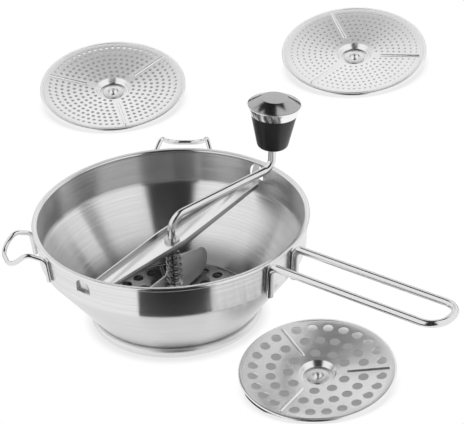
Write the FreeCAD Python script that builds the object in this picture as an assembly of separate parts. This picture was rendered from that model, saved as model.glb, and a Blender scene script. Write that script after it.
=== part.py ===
"""A hand-cranked food mill with a sieve in place and three more sieves beside it.

Millimetres. The origin is the middle of the foot ring on the table, +Z is up and
+X runs along the long handle.
"""
import FreeCAD, Part
import math
import os

V = FreeCAD.Vector
ORIGIN = V(0, 0, 0)
UP = V(0, 0, 1)

# Bowl
bowl_height = 98.9
bowl_wall = 0.9
rim_radius = 120.0
rim_bead_width = 5.0
rim_bead_height = 3.2
rim_overhang = 1.3
band_height = 31.0
band_taper = 3.4
shoulder_bend = 10.0
seat_width = 6.0
seat_bend = 3.0

# Foot ring
foot_height = 9.5
foot_wall = 0.9
foot_step = 4.4
foot_taper = 1.5
foot_top_width = 9.0
foot_top_bend = 2.0
foot_bottom_bend = 5.5
foot_stand_width = 10.0

# Sieve discs, drawn from the top of their border downwards
disc_radius = 67.5
disc_sheet = 0.8
disc_lip = 3.0
disc_lip_bend = 1.4
disc_border = 4.7
disc_seat_play = 0.8
dish_slope = 4.6
dish_bend = 3.0
recess_radius = 16.2
recess_wall_run = 2.7
recess_depth = 4.85
recess_bend = 1.6
rib_width = 3.2
rib_height = 1.2
rib_start = 7.8
rib_land = 6.0
ribs = 3
coarse_hole = 4.5
coarse_pitch = 13.7
coarse_rings = 3
coarse_inner_margin = 8.8
coarse_outer_margin = 7.4
medium_hole = 1.5
medium_pitch = 5.55
medium_rings = 8
medium_inner_margin = 2.8
medium_outer_margin = 4.6
fine_hole = 1.0
fine_pitch = 5.1
fine_rings = 8
fine_inner_margin = 4.5
fine_outer_margin = 4.9

# Cup in the middle of each disc
cup_radius = 5.4
cup_wall = 0.8
cup_mouth_depth = 1.0
hub_flange_radius = 9.3
hub_flange = 1.0
hub_hole_play = 0.1
pivot_play = 0.1

# Where the three loose discs lie: distance and direction from the bowl's axis, and the turn of a rib
loose_lean_azimuth = -50.5
medium_spot = (397.0, 136.0)
medium_turn = 78.5
fine_spot = (466.0, 106.6)
fine_turn = 25.5
coarse_spot = (169.7, -7.6)
coarse_turn = 35.1
fitted_turn = 20.0

# Long handle and the two pan hooks, all bent wire
handle_wire = 3.4
handle_spacing = 35.2
handle_end_spacing = 37.2
handle_drop = 2.3
handle_fall = 4.1
handle_leg = 30.3
handle_length = 177.0
handle_bend = 7.5
handle_corner = 16.5
hook_wire = 2.1
hook_spacing = 49.0
hook_nose_spacing = 31.0
hook_drop = 4.7
hook_leg = 21.0
hook_shelf = 15.2
hook_crest_rise = 6.4
hook_nose_run = 13.7
hook_nose_drop = 12.3
hook_bend = 7.5
hook_crest_bend = 8.5
hook_corner = 15.2
rear_hook_azimuth = 122.3
left_hook_azimuth = 232.6
weld_gap = 0.1

# Bridge and its pockets in the band
bridge_azimuth = 88.5
bridge_drop = 18.4
bridge_depth_middle = 6.0
bridge_depth_end = 3.5
bridge_width_middle = 28.0
bridge_width_end = 15.0
bridge_sheet = 1.2
tongue_width = 9.5
tongue_length = 4.5
tongue_end_gap = 0.6
pocket_turn = -0.9
pocket_width = 14.7
pocket_height = 13.5
pocket_top_margin = 1.2
pocket_gap = 0.3
lug_width = 10.3
lug_top_width = 5.5
lug_depth = 3.2

# Crank rod, blade and spring
rod_radius = 3.5
rod_fit = 0.08
crank_azimuth = 68.5
crank_base = 97.8
crank_rise = 14.2
crank_radius = 103.2
crank_first_bend = 15.0
crank_elbow_bend = 11.5
pin_lean = 6.0
blade_azimuth = 92.5
blade_offset = 8.0
blade_sheet = 1.2
blade_reach = 59.0
blade_end_height = 26.8
blade_peak = 41.2
blade_peak_run = 8.0
blade_low_height = 28.5
blade_low_run = 2.0
blade_clearance = 0.3
blade_hub_radius = 7.3
blade_hub_top = 31.5
blade_pin_radius = 1.5
blade_pin_height = 18.0
thrust_gap = 0.3
washer_radius = 7.0
washer_thickness = 1.2
washer_gap = 0.1
bushing_wall = 2.0
bushing_collar_radius = 6.6
bushing_collar = 1.8
spring_mean_radius = 6.0
spring_wire = 0.9
spring_turns = 6.5
spring_seat_gap = 0.2

# Knob
knob_standoff = 20.5
grip_height = 32.0
grip_bottom_radius = 13.0
grip_top_radius = 20.1
grip_bottom_bend = 4.5
sleeve_wall = 1.7
stop_ring_wall = 2.0
stop_ring_height = 1.5
stop_recess = 2.2
knob_play = 0.3
retainer_wall = 2.6
retainer_height = 2.2
retainer_room = 7.5
cap_cavity_radius = 9.0
ferrule_height = 8.8
ferrule_bottom_radius = 20.3
ferrule_top_radius = 23.9
crown_height = 6.3
crown_flat_radius = 11.8
cap_wall = 1.2
cap_fit = 0.1
crown_edge = 0.6


# Shared shapes

def at_azimuth(shape, azimuth):
    """Turn a shape that points along +X to another direction about the bowl's axis."""
    turned = shape.copy()
    turned.rotate(ORIGIN, UP, azimuth)
    return turned


def unit(vector):
    """The same direction, one millimetre long."""
    return vector * (1.0 / vector.Length)


def rounded_path(points, bends):
    """Straight runs through the points, with a tangent arc of the given radius at each inner one."""
    edges = []
    start = points[0]
    for before, corner, after, bend in zip(points, points[1:], points[2:], bends):
        back = unit(before - corner)
        ahead = unit(after - corner)
        half_turn = (math.pi - back.getAngle(ahead)) / 2
        tangent = bend * math.tan(half_turn)
        sagitta = bend / math.cos(half_turn) - bend
        arc_start = corner + back * tangent
        arc_end = corner + ahead * tangent
        arc_middle = corner + unit(back + ahead) * sagitta
        edges.append(Part.LineSegment(start, arc_start).toShape())
        edges.append(Part.Arc(arc_start, arc_middle, arc_end).toShape())
        start = arc_end
    edges.append(Part.LineSegment(start, points[-1]).toShape())
    return edges


def bent_wire(points, bends, radius):
    """A round wire along a bent path."""
    path = Part.Wire(rounded_path(points, bends))
    section = Part.Wire(Part.makeCircle(radius, points[0], points[1] - points[0]))
    wire = Part.Solid(path.makePipeShell([section], True, False))
    expected = math.pi * radius ** 2 * path.Length
    print("wire volume over section times length: %.4f" % (wire.Volume / expected))
    return wire


def in_section(radius, height):
    """A point of a profile that is turned about the bowl's axis."""
    return V(radius, 0, height)


def side_path(points, bends, shift):
    """A profile's path moved sideways, to the left of the way it runs, with its bends kept concentric."""
    runs = [unit(b - a) for a, b in zip(points, points[1:])]
    lefts = [V(-run.z, 0, run.x) for run in runs]
    moved = [points[0] + lefts[0] * shift]
    for corner, one, two in zip(points[1:], lefts, lefts[1:]):
        moved.append(corner + (one + two) * (shift / (1 + one.dot(two))))
    moved.append(points[-1] + lefts[-1] * shift)
    radii = []
    for bend, one, two in zip(bends, runs, runs[1:]):
        turns_left = one.x * two.z - one.z * two.x > 0
        radii.append(bend - shift if turns_left else bend + shift)
    return rounded_path(moved, radii)


def turned(edges):
    """A closed profile turned a full circle about the bowl's axis."""
    outline = Part.Wire(Part.__sortEdges__(edges))
    return Part.Face(outline).revolve(ORIGIN, UP, 360)


def turned_polygon(points):
    """A closed profile of straight sides, given as radius and height, turned a full circle."""
    corners = [in_section(*point) for point in points]
    return Part.Face(Part.makePolygon(corners + corners[:1])).revolve(ORIGIN, UP, 360)


def spun_sheet(points, bends, thickness):
    """Sheet metal of one thickness, spun about the bowl's axis along a middle line."""
    left = side_path(points, bends, thickness / 2)
    right = side_path(points, bends, -thickness / 2)
    first_cap = Part.LineSegment(left[0].Vertexes[0].Point, right[0].Vertexes[0].Point)
    last_cap = Part.LineSegment(left[-1].Vertexes[-1].Point, right[-1].Vertexes[-1].Point)
    return turned(left + right + [first_cap.toShape(), last_cap.toShape()])


def tube(inner, outer, bottom, height):
    """A plain ring or sleeve on the bowl's axis."""
    ring = Part.makeCylinder(outer, height, V(0, 0, bottom))
    return ring.cut(Part.makeCylinder(inner, height, V(0, 0, bottom)))


def save(name, shape):
    """Write one piece."""
    print("%-20s valid %s solids %d volume %.1f" % (name, shape.isValid(), len(shape.Solids), shape.Volume))
    shape.exportStep("parts/%s.step" % name)


# Levels and radii that several pieces share

seat_top = foot_height + bowl_wall
disc_level = seat_top + disc_lip
dish_outer = disc_radius - disc_border
dish_rise = math.tan(math.radians(dish_slope))
dish_inner_depth = (dish_outer - recess_radius) * dish_rise
recess_floor_depth = dish_inner_depth + recess_depth
recess_floor_radius = recess_radius - recess_wall_run
hub_top_depth = recess_floor_depth - hub_flange
cup_centre_depth = hub_top_depth - cup_mouth_depth
cup_outer_radius = cup_radius + cup_wall
cup_bottom_depth = cup_centre_depth + cup_outer_radius

band_top = in_section(rim_radius - rim_overhang - bowl_wall / 2, bowl_height - rim_bead_height / 2)
shoulder = in_section(band_top.x - band_taper, bowl_height - band_height)
seat_middle = seat_top - bowl_wall / 2
seat_corner_inside = disc_radius + disc_seat_play
cone_angle = math.atan2(shoulder.z - seat_middle, shoulder.x - seat_corner_inside)
seat_corner = in_section(seat_corner_inside + seat_bend * math.tan(cone_angle / 2), seat_middle)
band_lean = math.atan2(band_top.x - shoulder.x, band_top.z - shoulder.z)


def band_radius(height, outwards):
    """Radius of the upright band's middle line at a height, moved outwards by a distance from it."""
    middle = shoulder.x + (height - shoulder.z) * math.tan(band_lean)
    return middle + outwards / math.cos(band_lean)


bridge_top = bowl_height - bridge_drop
bridge_floor_middle = bridge_top - bridge_depth_middle
bridge_floor_end = bridge_top - bridge_depth_end
tongue_end = band_radius(bridge_floor_end, -bowl_wall / 2) - tongue_end_gap
channel_end = tongue_end - tongue_length
tongue_top = bridge_floor_end + bridge_sheet
rod_bore = rod_radius + rod_fit

blade_hub_bottom = disc_level - hub_top_depth + thrust_gap
seat_washer_bottom = blade_hub_top + washer_gap
spring_bottom = seat_washer_bottom + washer_thickness
top_washer_bottom = bridge_floor_middle - washer_thickness
elbow_height = crank_base + crank_rise
knob_bottom = elbow_height + knob_standoff
sleeve_bottom = knob_bottom + stop_recess + knob_play
grip_top = knob_bottom + grip_height
retainer_floor = grip_top - retainer_room
ferrule_top = grip_top + ferrule_height
sleeve_radius = rod_bore + sleeve_wall
retainer_bottom = retainer_floor + knob_play


# Bowl

def rolled_rim():
    """The bead round the top edge: flat above and below, half round on both sides."""
    round_end = rim_bead_height / 2
    outer = rim_radius - round_end
    inner = rim_radius - rim_bead_width + round_end
    top = bowl_height
    middle = top - round_end
    bottom = top - rim_bead_height
    edges = [
        Part.LineSegment(in_section(inner, top), in_section(outer, top)).toShape(),
        Part.Arc(in_section(outer, top), in_section(outer + round_end, middle), in_section(outer, bottom)).toShape(),
        Part.LineSegment(in_section(outer, bottom), in_section(inner, bottom)).toShape(),
        Part.Arc(in_section(inner, bottom), in_section(inner - round_end, middle), in_section(inner, top)).toShape(),
    ]
    return turned(edges)


def pocket_window():
    """The cut through the band above one end of the bridge: flat sill, arched top."""
    half = pocket_width / 2
    top = bowl_height - rim_bead_height - pocket_top_margin
    sill = top - pocket_height
    arch = top - half
    near = band_radius(sill, -bowl_wall) - bowl_wall
    sides = [V(near, -half, arch), V(near, -half, sill), V(near, half, sill), V(near, half, arch)]
    edges = [Part.LineSegment(a, b).toShape() for a, b in zip(sides, sides[1:])]
    edges.append(Part.Arc(sides[-1], V(near, 0, arch + half), sides[0]).toShape())
    through = band_radius(bowl_height, bowl_wall) + bowl_wall - near
    return Part.Face(Part.Wire(edges)).extrude(V(through, 0, 0))


def pocket_lug():
    """The tab lanced out of that window, which slants inwards and holds the bridge's tongue down."""
    top = bowl_height - rim_bead_height - pocket_top_margin + bowl_wall
    bottom = tongue_top + pocket_gap
    root = band_radius(top, 0)
    nose = band_radius(bottom, 0) - lug_depth
    slant = math.hypot(root - nose, top - bottom) / (top - bottom)
    across = bowl_wall * slant
    ends = []
    for reach, width, height in ((root, lug_top_width, top), (nose, lug_width, bottom)):
        sides = ((reach, -width), (reach, width), (reach - across, width), (reach - across, -width))
        ends.append([V(x, y / 2, height) for x, y in sides])
    upper, lower = ends
    outlines = [upper, lower]
    outlines += [[upper[k - 1], upper[k], lower[k], lower[k - 1]] for k in range(4)]
    faces = [Part.Face(Part.makePolygon(corners + corners[:1])) for corners in outlines]
    lug = Part.makeSolid(Part.makeShell(faces))
    if lug.Volume < 0:
        lug.reverse()
    return lug


def bowl_shell():
    """The spun bowl with its rolled rim, its turned-in seat and its two lanced pockets."""
    seat_edge = in_section(disc_radius - seat_width, seat_middle)
    shell = spun_sheet([band_top, shoulder, seat_corner, seat_edge], [shoulder_bend, seat_bend], bowl_wall)
    shell = shell.fuse(rolled_rim())
    for azimuth in (bridge_azimuth + pocket_turn, bridge_azimuth + pocket_turn + 180):
        shell = shell.cut(at_azimuth(pocket_window(), azimuth))
        shell = shell.fuse(at_azimuth(pocket_lug(), azimuth))
    return shell.removeSplitter()


def foot_ring():
    """The ring under the seat, turned in at both edges, that the mill stands on."""
    top = foot_height - foot_wall / 2
    bottom = foot_wall / 2
    outer = seat_corner.x + foot_step
    lower = outer - foot_taper
    points = [
        in_section(outer - foot_top_width, top),
        in_section(outer, top),
        in_section(lower, bottom),
        in_section(lower - foot_stand_width, bottom),
    ]
    return spun_sheet(points, [foot_top_bend, foot_bottom_bend], foot_wall)


# Wire handle and hooks

def wire_leg_foot(height, spacing, wire):
    """How far out a leg's middle lies where it touches the band at a height."""
    radius = band_radius(height, bowl_wall / 2 + wire + weld_gap)
    return math.sqrt(radius ** 2 - (spacing / 2) ** 2)


def long_handle():
    """One wire: up a leg, out along a rod that falls a little, round the end and back."""
    level = bowl_height - handle_drop
    low = level - handle_leg
    tip = level - handle_fall
    half = handle_spacing / 2
    tip_half = handle_end_spacing / 2
    end = rim_radius + handle_length - handle_wire
    foot = wire_leg_foot(low, handle_spacing, handle_wire)
    knee = wire_leg_foot(level, handle_spacing, handle_wire)
    points = [
        V(foot, -half, low),
        V(knee, -half, level),
        V(end, -tip_half, tip),
        V(end, tip_half, tip),
        V(knee, half, level),
        V(foot, half, low),
    ]
    return bent_wire(points, [handle_bend, handle_corner, handle_corner, handle_bend], handle_wire)


def pan_hook():
    """One wire: up a leg, out over the pan's edge, down round the nose and back."""
    level = bowl_height - hook_drop
    low = level - hook_leg
    half = hook_spacing / 2
    foot = wire_leg_foot(low, hook_spacing, hook_wire)
    knee = wire_leg_foot(level, hook_spacing, hook_wire)
    nose_half = hook_nose_spacing / 2
    crest_half = (half + nose_half) / 2
    crest = band_radius(level, 0) + hook_shelf
    top = level + hook_crest_rise
    nose = crest + hook_nose_run
    tip = top - hook_nose_drop
    side = [V(foot, -half, low), V(knee, -half, level), V(crest, -crest_half, top), V(nose, -nose_half, tip)]
    other = [V(p.x, -p.y, p.z) for p in reversed(side)]
    bends = [hook_bend, hook_crest_bend, hook_corner]
    return bent_wire(side + other, bends + bends[::-1], hook_wire)


# Sieve discs, drawn on the bowl's axis with the top of their border at height 0

def disc_blank():
    """The dished sheet before it is pierced."""
    middle = -disc_sheet / 2
    edge = disc_radius - disc_sheet / 2
    floor = middle - recess_floor_depth
    points = [
        in_section(edge, -disc_lip),
        in_section(edge, middle),
        in_section(dish_outer, middle),
        in_section(recess_radius, middle - dish_inner_depth),
        in_section(recess_floor_radius, floor),
        in_section(cup_outer_radius + hub_hole_play, floor),
    ]
    return spun_sheet(points, [disc_lip_bend, dish_bend, recess_bend, recess_bend], disc_sheet)


def pressed_rib():
    """A round-topped rib along the slope of the dish, pointing along +X."""
    half = rib_width / 2
    roundness = (half ** 2 + rib_height ** 2) / (2 * rib_height)
    inner = recess_radius + rib_start
    length = (dish_outer - inner) / math.cos(math.radians(dish_slope))
    sunk = rib_height - roundness
    bar = Part.makeCylinder(roundness, length - 2 * half, V(half, 0, sunk), V(1, 0, 0))
    for x in (half, length - half):
        bar = bar.fuse(Part.makeSphere(roundness, V(x, 0, sunk)))
    keep = Part.makeBox(length + 2 * rib_width, 2 * rib_width, 2 * rib_height)
    keep.translate(V(-rib_width, -rib_width, -disc_sheet / 2))
    rib = bar.common(keep)
    rib.rotate(ORIGIN, V(0, 1, 0), -dish_slope)
    rib.translate(V(inner, 0, -(dish_outer - inner) * dish_rise))
    return rib


def hole_sites(pitch, rings, inner_margin, outer_margin):
    """Middles of the holes: even rings, each broken by the ribs' lands."""
    first = recess_radius + inner_margin
    last = dish_outer - outer_margin
    sector = 2 * math.pi / ribs
    sites = []
    for ring in range(rings):
        radius = first + (last - first) * ring / (rings - 1)
        arc = sector * radius - rib_land
        count = round(arc / pitch)
        for rib in range(ribs):
            for hole in range(count):
                angle = rib * sector + (rib_land / 2 + (hole + 0.5) * arc / count) / radius
                sites.append(V(radius * math.cos(angle), radius * math.sin(angle), 0))
    return sites


def sieve_disc(hole_radius, pitch, rings, inner_margin, outer_margin):
    """A dished disc with its ribs, pierced by rings of holes."""
    disc = disc_blank()
    for rib in range(ribs):
        disc = disc.fuse(at_azimuth(pressed_rib(), rib * 360 / ribs))
    deep = recess_floor_depth + disc_sheet
    sites = hole_sites(pitch, rings, inner_margin, outer_margin)
    punches = [Part.makeCylinder(hole_radius, 2 * deep, site - UP * deep) for site in sites]
    return disc.cut(Part.makeCompound(punches))


def disc_hub():
    """The flanged cup in a disc's middle, in which the shaft's ball end turns."""
    def on_ball(radius, depth):
        return in_section(math.sqrt(radius ** 2 - (depth - cup_centre_depth) ** 2), -depth)

    def half_way(radius, edge):
        lean = math.atan2(edge.x, -cup_centre_depth - edge.z) / 2
        return in_section(radius * math.sin(lean), -cup_centre_depth - radius * math.cos(lean))

    mouth = on_ball(cup_radius, hub_top_depth)
    neck = on_ball(cup_outer_radius, recess_floor_depth)
    inside = in_section(0, -cup_centre_depth - cup_radius)
    outside = in_section(0, -cup_bottom_depth)
    rim = in_section(hub_flange_radius, -hub_top_depth)
    under = in_section(hub_flange_radius, -recess_floor_depth)
    edges = [
        Part.LineSegment(mouth, rim).toShape(),
        Part.LineSegment(rim, under).toShape(),
        Part.LineSegment(under, neck).toShape(),
        Part.Arc(neck, half_way(cup_outer_radius, neck), outside).toShape(),
        Part.LineSegment(outside, inside).toShape(),
        Part.Arc(inside, half_way(cup_radius, mouth), mouth).toShape(),
    ]
    return turned(edges)


def fitted(shape):
    """A disc's piece in its working place on the bowl's seat."""
    placed = at_azimuth(shape, fitted_turn)
    placed.translate(V(0, 0, disc_level))
    return placed


def laid(shape, spot, turn):
    """A disc's piece on the table, tipped until the cup's round end and the lip both touch it."""
    overhang = cup_bottom_depth - cup_outer_radius - disc_lip
    tip = math.asin(cup_outer_radius / math.hypot(disc_radius, overhang)) + math.atan2(overhang, disc_radius)
    height = disc_radius * math.sin(tip) + disc_lip * math.cos(tip)
    distance, azimuth = spot
    low_side = math.radians(loose_lean_azimuth)
    placed = at_azimuth(shape, turn)
    placed.rotate(ORIGIN, V(-math.sin(low_side), math.cos(low_side), 0), math.degrees(tip))
    direction = math.radians(azimuth)
    placed.translate(V(distance * math.cos(direction), distance * math.sin(direction), height))
    return placed


# Bridge, pointing along +X until it is turned to its pockets

def channel_section(along, width, bottom, top):
    """One upright rectangle across the channel."""
    half = width / 2
    corners = [V(along, -half, bottom), V(along, half, bottom), V(along, half, top), V(along, -half, top)]
    return Part.makePolygon(corners + corners[:1])


def tapered_bar(side_gap, floor_gap, top):
    """A bar that tapers from the middle to both ends, drawn in from the channel's outside."""
    middle = channel_section(0, bridge_width_middle - 2 * side_gap, bridge_floor_middle + floor_gap, top)
    halves = []
    for end in (-channel_end, channel_end):
        tip = channel_section(end, bridge_width_end - 2 * side_gap, bridge_floor_end + floor_gap, top)
        halves.append(Part.makeLoft([middle, tip], True, True))
    return halves[0].fuse(halves[1])


def bridge():
    """The open channel with a flat tongue at each end and a hole for its bushing."""
    channel = tapered_bar(0, 0, bridge_top)
    channel = channel.cut(tapered_bar(bridge_sheet, bridge_sheet, bridge_top + bridge_depth_middle))
    run = tongue_end - channel_end + bridge_sheet
    for start in (channel_end - bridge_sheet, -tongue_end):
        tongue = Part.makeBox(run, tongue_width, bridge_sheet, V(start, -tongue_width / 2, bridge_floor_end))
        channel = channel.fuse(tongue)
    hole = Part.makeCylinder(rod_bore + bushing_wall, bridge_depth_middle, V(0, 0, bridge_floor_middle))
    return channel.cut(hole).removeSplitter()


def bridge_bushing():
    """The collar that guides the shaft: a barrel in the floor and a wider collar above it."""
    floor_slope = (bridge_floor_end - bridge_floor_middle) / channel_end
    barrel_height = bridge_sheet + bushing_collar_radius * floor_slope
    barrel = tube(rod_bore, rod_bore + bushing_wall, bridge_floor_middle, barrel_height)
    floor = bridge_floor_middle + barrel_height
    return barrel.fuse(tube(rod_bore, bushing_collar_radius, floor, bushing_collar)).removeSplitter()


# Crank, blade and spring

def crank_pin_hole():
    """The hole for the blade's cross pin, through hub, rod and blade."""
    span = blade_hub_radius + blade_offset + blade_sheet / 2
    return Part.makeCylinder(blade_pin_radius, span, V(0, -blade_hub_radius, blade_pin_height), V(0, 1, 0))


def crank_rod():
    """One bent rod: shaft, arm and the pin that the knob turns on, which leans outwards a little."""
    lean = math.radians(pin_lean)
    pin_length = retainer_bottom + retainer_height - elbow_height
    elbow = V(crank_radius, 0, elbow_height)
    points = [
        V(0, 0, blade_hub_bottom),
        V(0, 0, crank_base),
        elbow,
        elbow + V(math.sin(lean), 0, math.cos(lean)) * pin_length,
    ]
    rod = bent_wire(points, [crank_first_bend, crank_elbow_bend], rod_radius)
    return at_azimuth(rod, crank_azimuth).cut(at_azimuth(crank_pin_hole(), blade_azimuth))


def blade_hub():
    """The collar that is pinned to the shaft."""
    hub = tube(rod_radius, blade_hub_radius, blade_hub_bottom, blade_hub_top - blade_hub_bottom)
    return hub.cut(at_azimuth(crank_pin_hole(), blade_azimuth))


def blade_pin():
    """The cross pin, flush with the hub and with the blade's outer face."""
    return at_azimuth(crank_pin_hole(), blade_azimuth)


def scraper_blade():
    """An upright plate beside the hub: a tall rounded wing, a lower one, and edges just over the ribs."""
    heel = blade_reach - blade_end_height / 2
    rise = heel * dish_rise
    tall = [
        V(0, 0, 0),
        V(heel, 0, rise),
        V(blade_reach, 0, rise + blade_end_height / 2),
        V(heel, 0, rise + blade_end_height),
        V(blade_peak_run, 0, blade_peak),
    ]
    low_end = (blade_low_height - rise) / 2
    low = [
        V(0, 0, 0),
        V(-heel, 0, rise),
        V(-heel - low_end, 0, rise + low_end),
        V(-heel, 0, blade_low_height),
        V(-blade_low_run, 0, blade_low_height),
    ]
    edges = []
    for foot, heel_low, tip, heel_high, inner in (tall, low):
        edges.append(Part.LineSegment(foot, heel_low).toShape())
        edges.append(Part.Arc(heel_low, tip, heel_high).toShape())
        edges.append(Part.LineSegment(heel_high, inner).toShape())
    edges.append(Part.LineSegment(tall[-1], low[-1]).toShape())
    outline = Part.Wire(Part.__sortEdges__(edges))
    plate = Part.Face(outline).extrude(V(0, blade_sheet, 0))
    level = disc_level - (dish_outer - blade_offset) * dish_rise + rib_height + blade_clearance
    plate.translate(V(0, blade_offset - blade_sheet / 2, level))
    return at_azimuth(plate.cut(crank_pin_hole()), blade_azimuth)


def shaft_pilot():
    """The ball end under the hub that turns in the sieve's cup."""
    centre = disc_level - cup_centre_depth
    ball = Part.makeSphere(cup_radius - pivot_play, V(0, 0, centre))
    below = Part.makeCylinder(2 * cup_radius, 2 * cup_radius, V(0, 0, blade_hub_bottom - 2 * cup_radius))
    return ball.common(below)


def helix_point(turn, low, pitch):
    """A point of the spring's middle line, and the way the wire runs there."""
    angle = 2 * math.pi * turn
    point = V(spring_mean_radius * math.cos(angle), spring_mean_radius * math.sin(angle), low + pitch * turn)
    around = 2 * math.pi * spring_mean_radius
    return point, unit(V(-math.sin(angle) * around, math.cos(angle) * around, pitch))


def tangent_arc(start, way, end):
    """The arc that leaves a point in a given direction and ends at another point."""
    chord = end - start
    lean = way.getAngle(chord)
    side = way - unit(chord) * way.dot(unit(chord))
    middle = start + chord * 0.5 + unit(side) * (chord.Length / 2 * math.tan(lean / 2))
    return Part.Arc(start, middle, end).toShape()


def biarc(start, way_out, end, way_in):
    """Two arcs that meet smoothly between two points with given directions."""
    span = end - start
    ways = way_out + way_in
    spread = 2 * (1 - way_out.dot(way_in))
    along = span.dot(ways)
    reach = (-along + math.sqrt(along ** 2 + spread * span.dot(span))) / spread
    joint = (start + end + (way_out - way_in) * reach) * 0.5
    way_back = V(0, 0, 0) - way_in
    second = tangent_arc(end, way_back, joint)
    return [tangent_arc(start, way_out, joint), second]


def least_self_gap(edges, wire):
    """Smallest clear distance between turns, measured on points along the wire."""
    points = []
    for edge in edges:
        points.extend(edge.discretize(6)[:-1])
    skip = 15
    nearest = min((a - b).Length for i, a in enumerate(points) for b in points[i + skip:])
    return nearest - 2 * wire


def pressure_spring():
    """The coil between the two washers: one wire in quarter turns, with short straight ends."""
    straight = 2 * spring_wire
    room = top_washer_bottom - spring_bottom
    steps = int(round(spring_turns * 4))
    slope = room / (spring_turns * 2 * math.pi * spring_mean_radius)
    margin = spring_wire + spring_seat_gap + straight * slope
    pitch = (room - 2 * margin) / spring_turns
    low = spring_bottom + margin
    knots = [helix_point(spring_turns * step / steps, low, pitch) for step in range(steps + 1)]
    first, first_way = knots[0]
    last, last_way = knots[-1]
    start = first - first_way * straight
    edges = [Part.LineSegment(start, first).toShape()]
    for (here, way), (there, next_way) in zip(knots, knots[1:]):
        edges.extend(biarc(here, way, there, next_way))
    edges.append(Part.LineSegment(last, last + last_way * straight).toShape())
    path = Part.Wire(Part.__sortEdges__(edges))
    section = Part.Wire(Part.makeCircle(spring_wire, start, first_way))
    print("spring: least gap to itself %.2f" % least_self_gap(edges[1:-1], spring_wire))
    return Part.Solid(path.makePipeShell([section], True, False))


# Knob, drawn on the bowl's axis and then moved to the end of the crank

def to_knob(shape):
    """Move a piece from the bowl's axis to the crank's pin and lean it with the pin."""
    moved = shape.copy()
    moved.rotate(V(0, 0, elbow_height), V(0, 1, 0), pin_lean)
    moved.translate(V(crank_radius, 0, 0))
    return at_azimuth(moved, crank_azimuth)


def knob_grip():
    """The tapered grip, bored for its sleeve, with room above for the retainer and below for the stop."""
    outside = [
        in_section(0, knob_bottom),
        in_section(grip_bottom_radius, knob_bottom),
        in_section(grip_top_radius, grip_top),
    ]
    edges = rounded_path(outside, [grip_bottom_bend])
    edges.append(Part.LineSegment(outside[-1], in_section(0, grip_top)).toShape())
    edges.append(Part.LineSegment(in_section(0, grip_top), outside[0]).toShape())
    grip = turned(edges)
    stop_radius = rod_radius + stop_ring_wall + knob_play
    grip = grip.cut(Part.makeCylinder(stop_radius, stop_recess + knob_play, V(0, 0, knob_bottom)))
    grip = grip.cut(Part.makeCylinder(sleeve_radius, grip_height, V(0, 0, knob_bottom)))
    return grip.cut(Part.makeCylinder(cap_cavity_radius, retainer_room, V(0, 0, retainer_floor)))


def knob_sleeve():
    """The bearing tube pressed into the grip."""
    return tube(rod_bore, sleeve_radius, sleeve_bottom, retainer_floor - sleeve_bottom)


def knob_stop_ring():
    """The ring on the pin that carries the knob, out of sight in the grip's underside."""
    return tube(rod_radius, rod_radius + stop_ring_wall, sleeve_bottom - knob_play - stop_ring_height, stop_ring_height)


def knob_retainer():
    """The push-on nut at the pin's end."""
    return tube(rod_radius, rod_radius + retainer_wall, retainer_bottom, retainer_height)


def knob_ferrule():
    """The flared chrome band round the top of the grip."""
    return turned_polygon([
        (ferrule_bottom_radius - cap_wall, grip_top),
        (ferrule_bottom_radius, grip_top),
        (ferrule_top_radius, ferrule_top),
        (ferrule_top_radius - cap_wall, ferrule_top),
    ])


def knob_crown():
    """The chrome top: a hollow low cone with a flat top and a skirt that stands in the ferrule."""
    top = ferrule_top + crown_height
    skirt_outer = ferrule_bottom_radius - cap_wall - cap_fit
    skirt_inner = skirt_outer - cap_wall
    crown = turned_polygon([
        (0, top),
        (crown_flat_radius, top),
        (ferrule_top_radius, ferrule_top),
        (skirt_outer, ferrule_top),
        (skirt_outer, grip_top),
        (skirt_inner, grip_top),
        (skirt_inner, ferrule_top + cap_wall),
        (crown_flat_radius, top - cap_wall),
        (0, top - cap_wall),
    ])
    level = top - crown_edge / 10
    sharp = [edge for edge in crown.Edges if edge.Closed and edge.BoundBox.ZMin > level]
    return crown.makeFillet(crown_edge, sharp)


# All the pieces

def build():
    """Make every piece in its place and write it."""
    os.makedirs("parts", exist_ok=True)
    save("bowl_shell", bowl_shell())
    save("foot_ring", foot_ring())
    save("long_handle", long_handle())
    save("rear_hook", at_azimuth(pan_hook(), rear_hook_azimuth))
    save("left_hook", at_azimuth(pan_hook(), left_hook_azimuth))

    coarse = sieve_disc(coarse_hole, coarse_pitch, coarse_rings, coarse_inner_margin, coarse_outer_margin)
    medium = sieve_disc(medium_hole, medium_pitch, medium_rings, medium_inner_margin, medium_outer_margin)
    fine = sieve_disc(fine_hole, fine_pitch, fine_rings, fine_inner_margin, fine_outer_margin)
    hub = disc_hub()
    save("fitted_disc", fitted(coarse))
    save("fitted_disc_hub", fitted(hub))
    loose = [
        ("coarse_disc", coarse, coarse_spot, coarse_turn),
        ("medium_disc", medium, medium_spot, medium_turn),
        ("fine_disc", fine, fine_spot, fine_turn),
    ]
    for name, disc, spot, turn in loose:
        save(name, laid(disc, spot, turn))
        save(name + "_hub", laid(hub, spot, turn))

    save("bridge", at_azimuth(bridge(), bridge_azimuth))
    save("bridge_bushing", bridge_bushing())
    save("spring_top_washer", tube(rod_bore, washer_radius, top_washer_bottom, washer_thickness))
    save("pressure_spring", pressure_spring())
    save("spring_seat_washer", tube(rod_bore, washer_radius, seat_washer_bottom, washer_thickness))

    save("crank_rod", crank_rod())
    save("scraper_blade", scraper_blade())
    save("blade_hub", blade_hub())
    save("blade_pin", blade_pin())
    save("shaft_pilot", shaft_pilot())
    save("knob_stop_ring", to_knob(knob_stop_ring()))
    save("knob_retainer", to_knob(knob_retainer()))
    save("knob_grip", to_knob(knob_grip()))
    save("knob_sleeve", to_knob(knob_sleeve()))
    save("knob_ferrule", to_knob(knob_ferrule()))
    save("knob_crown", to_knob(knob_crown()))


build()
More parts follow.
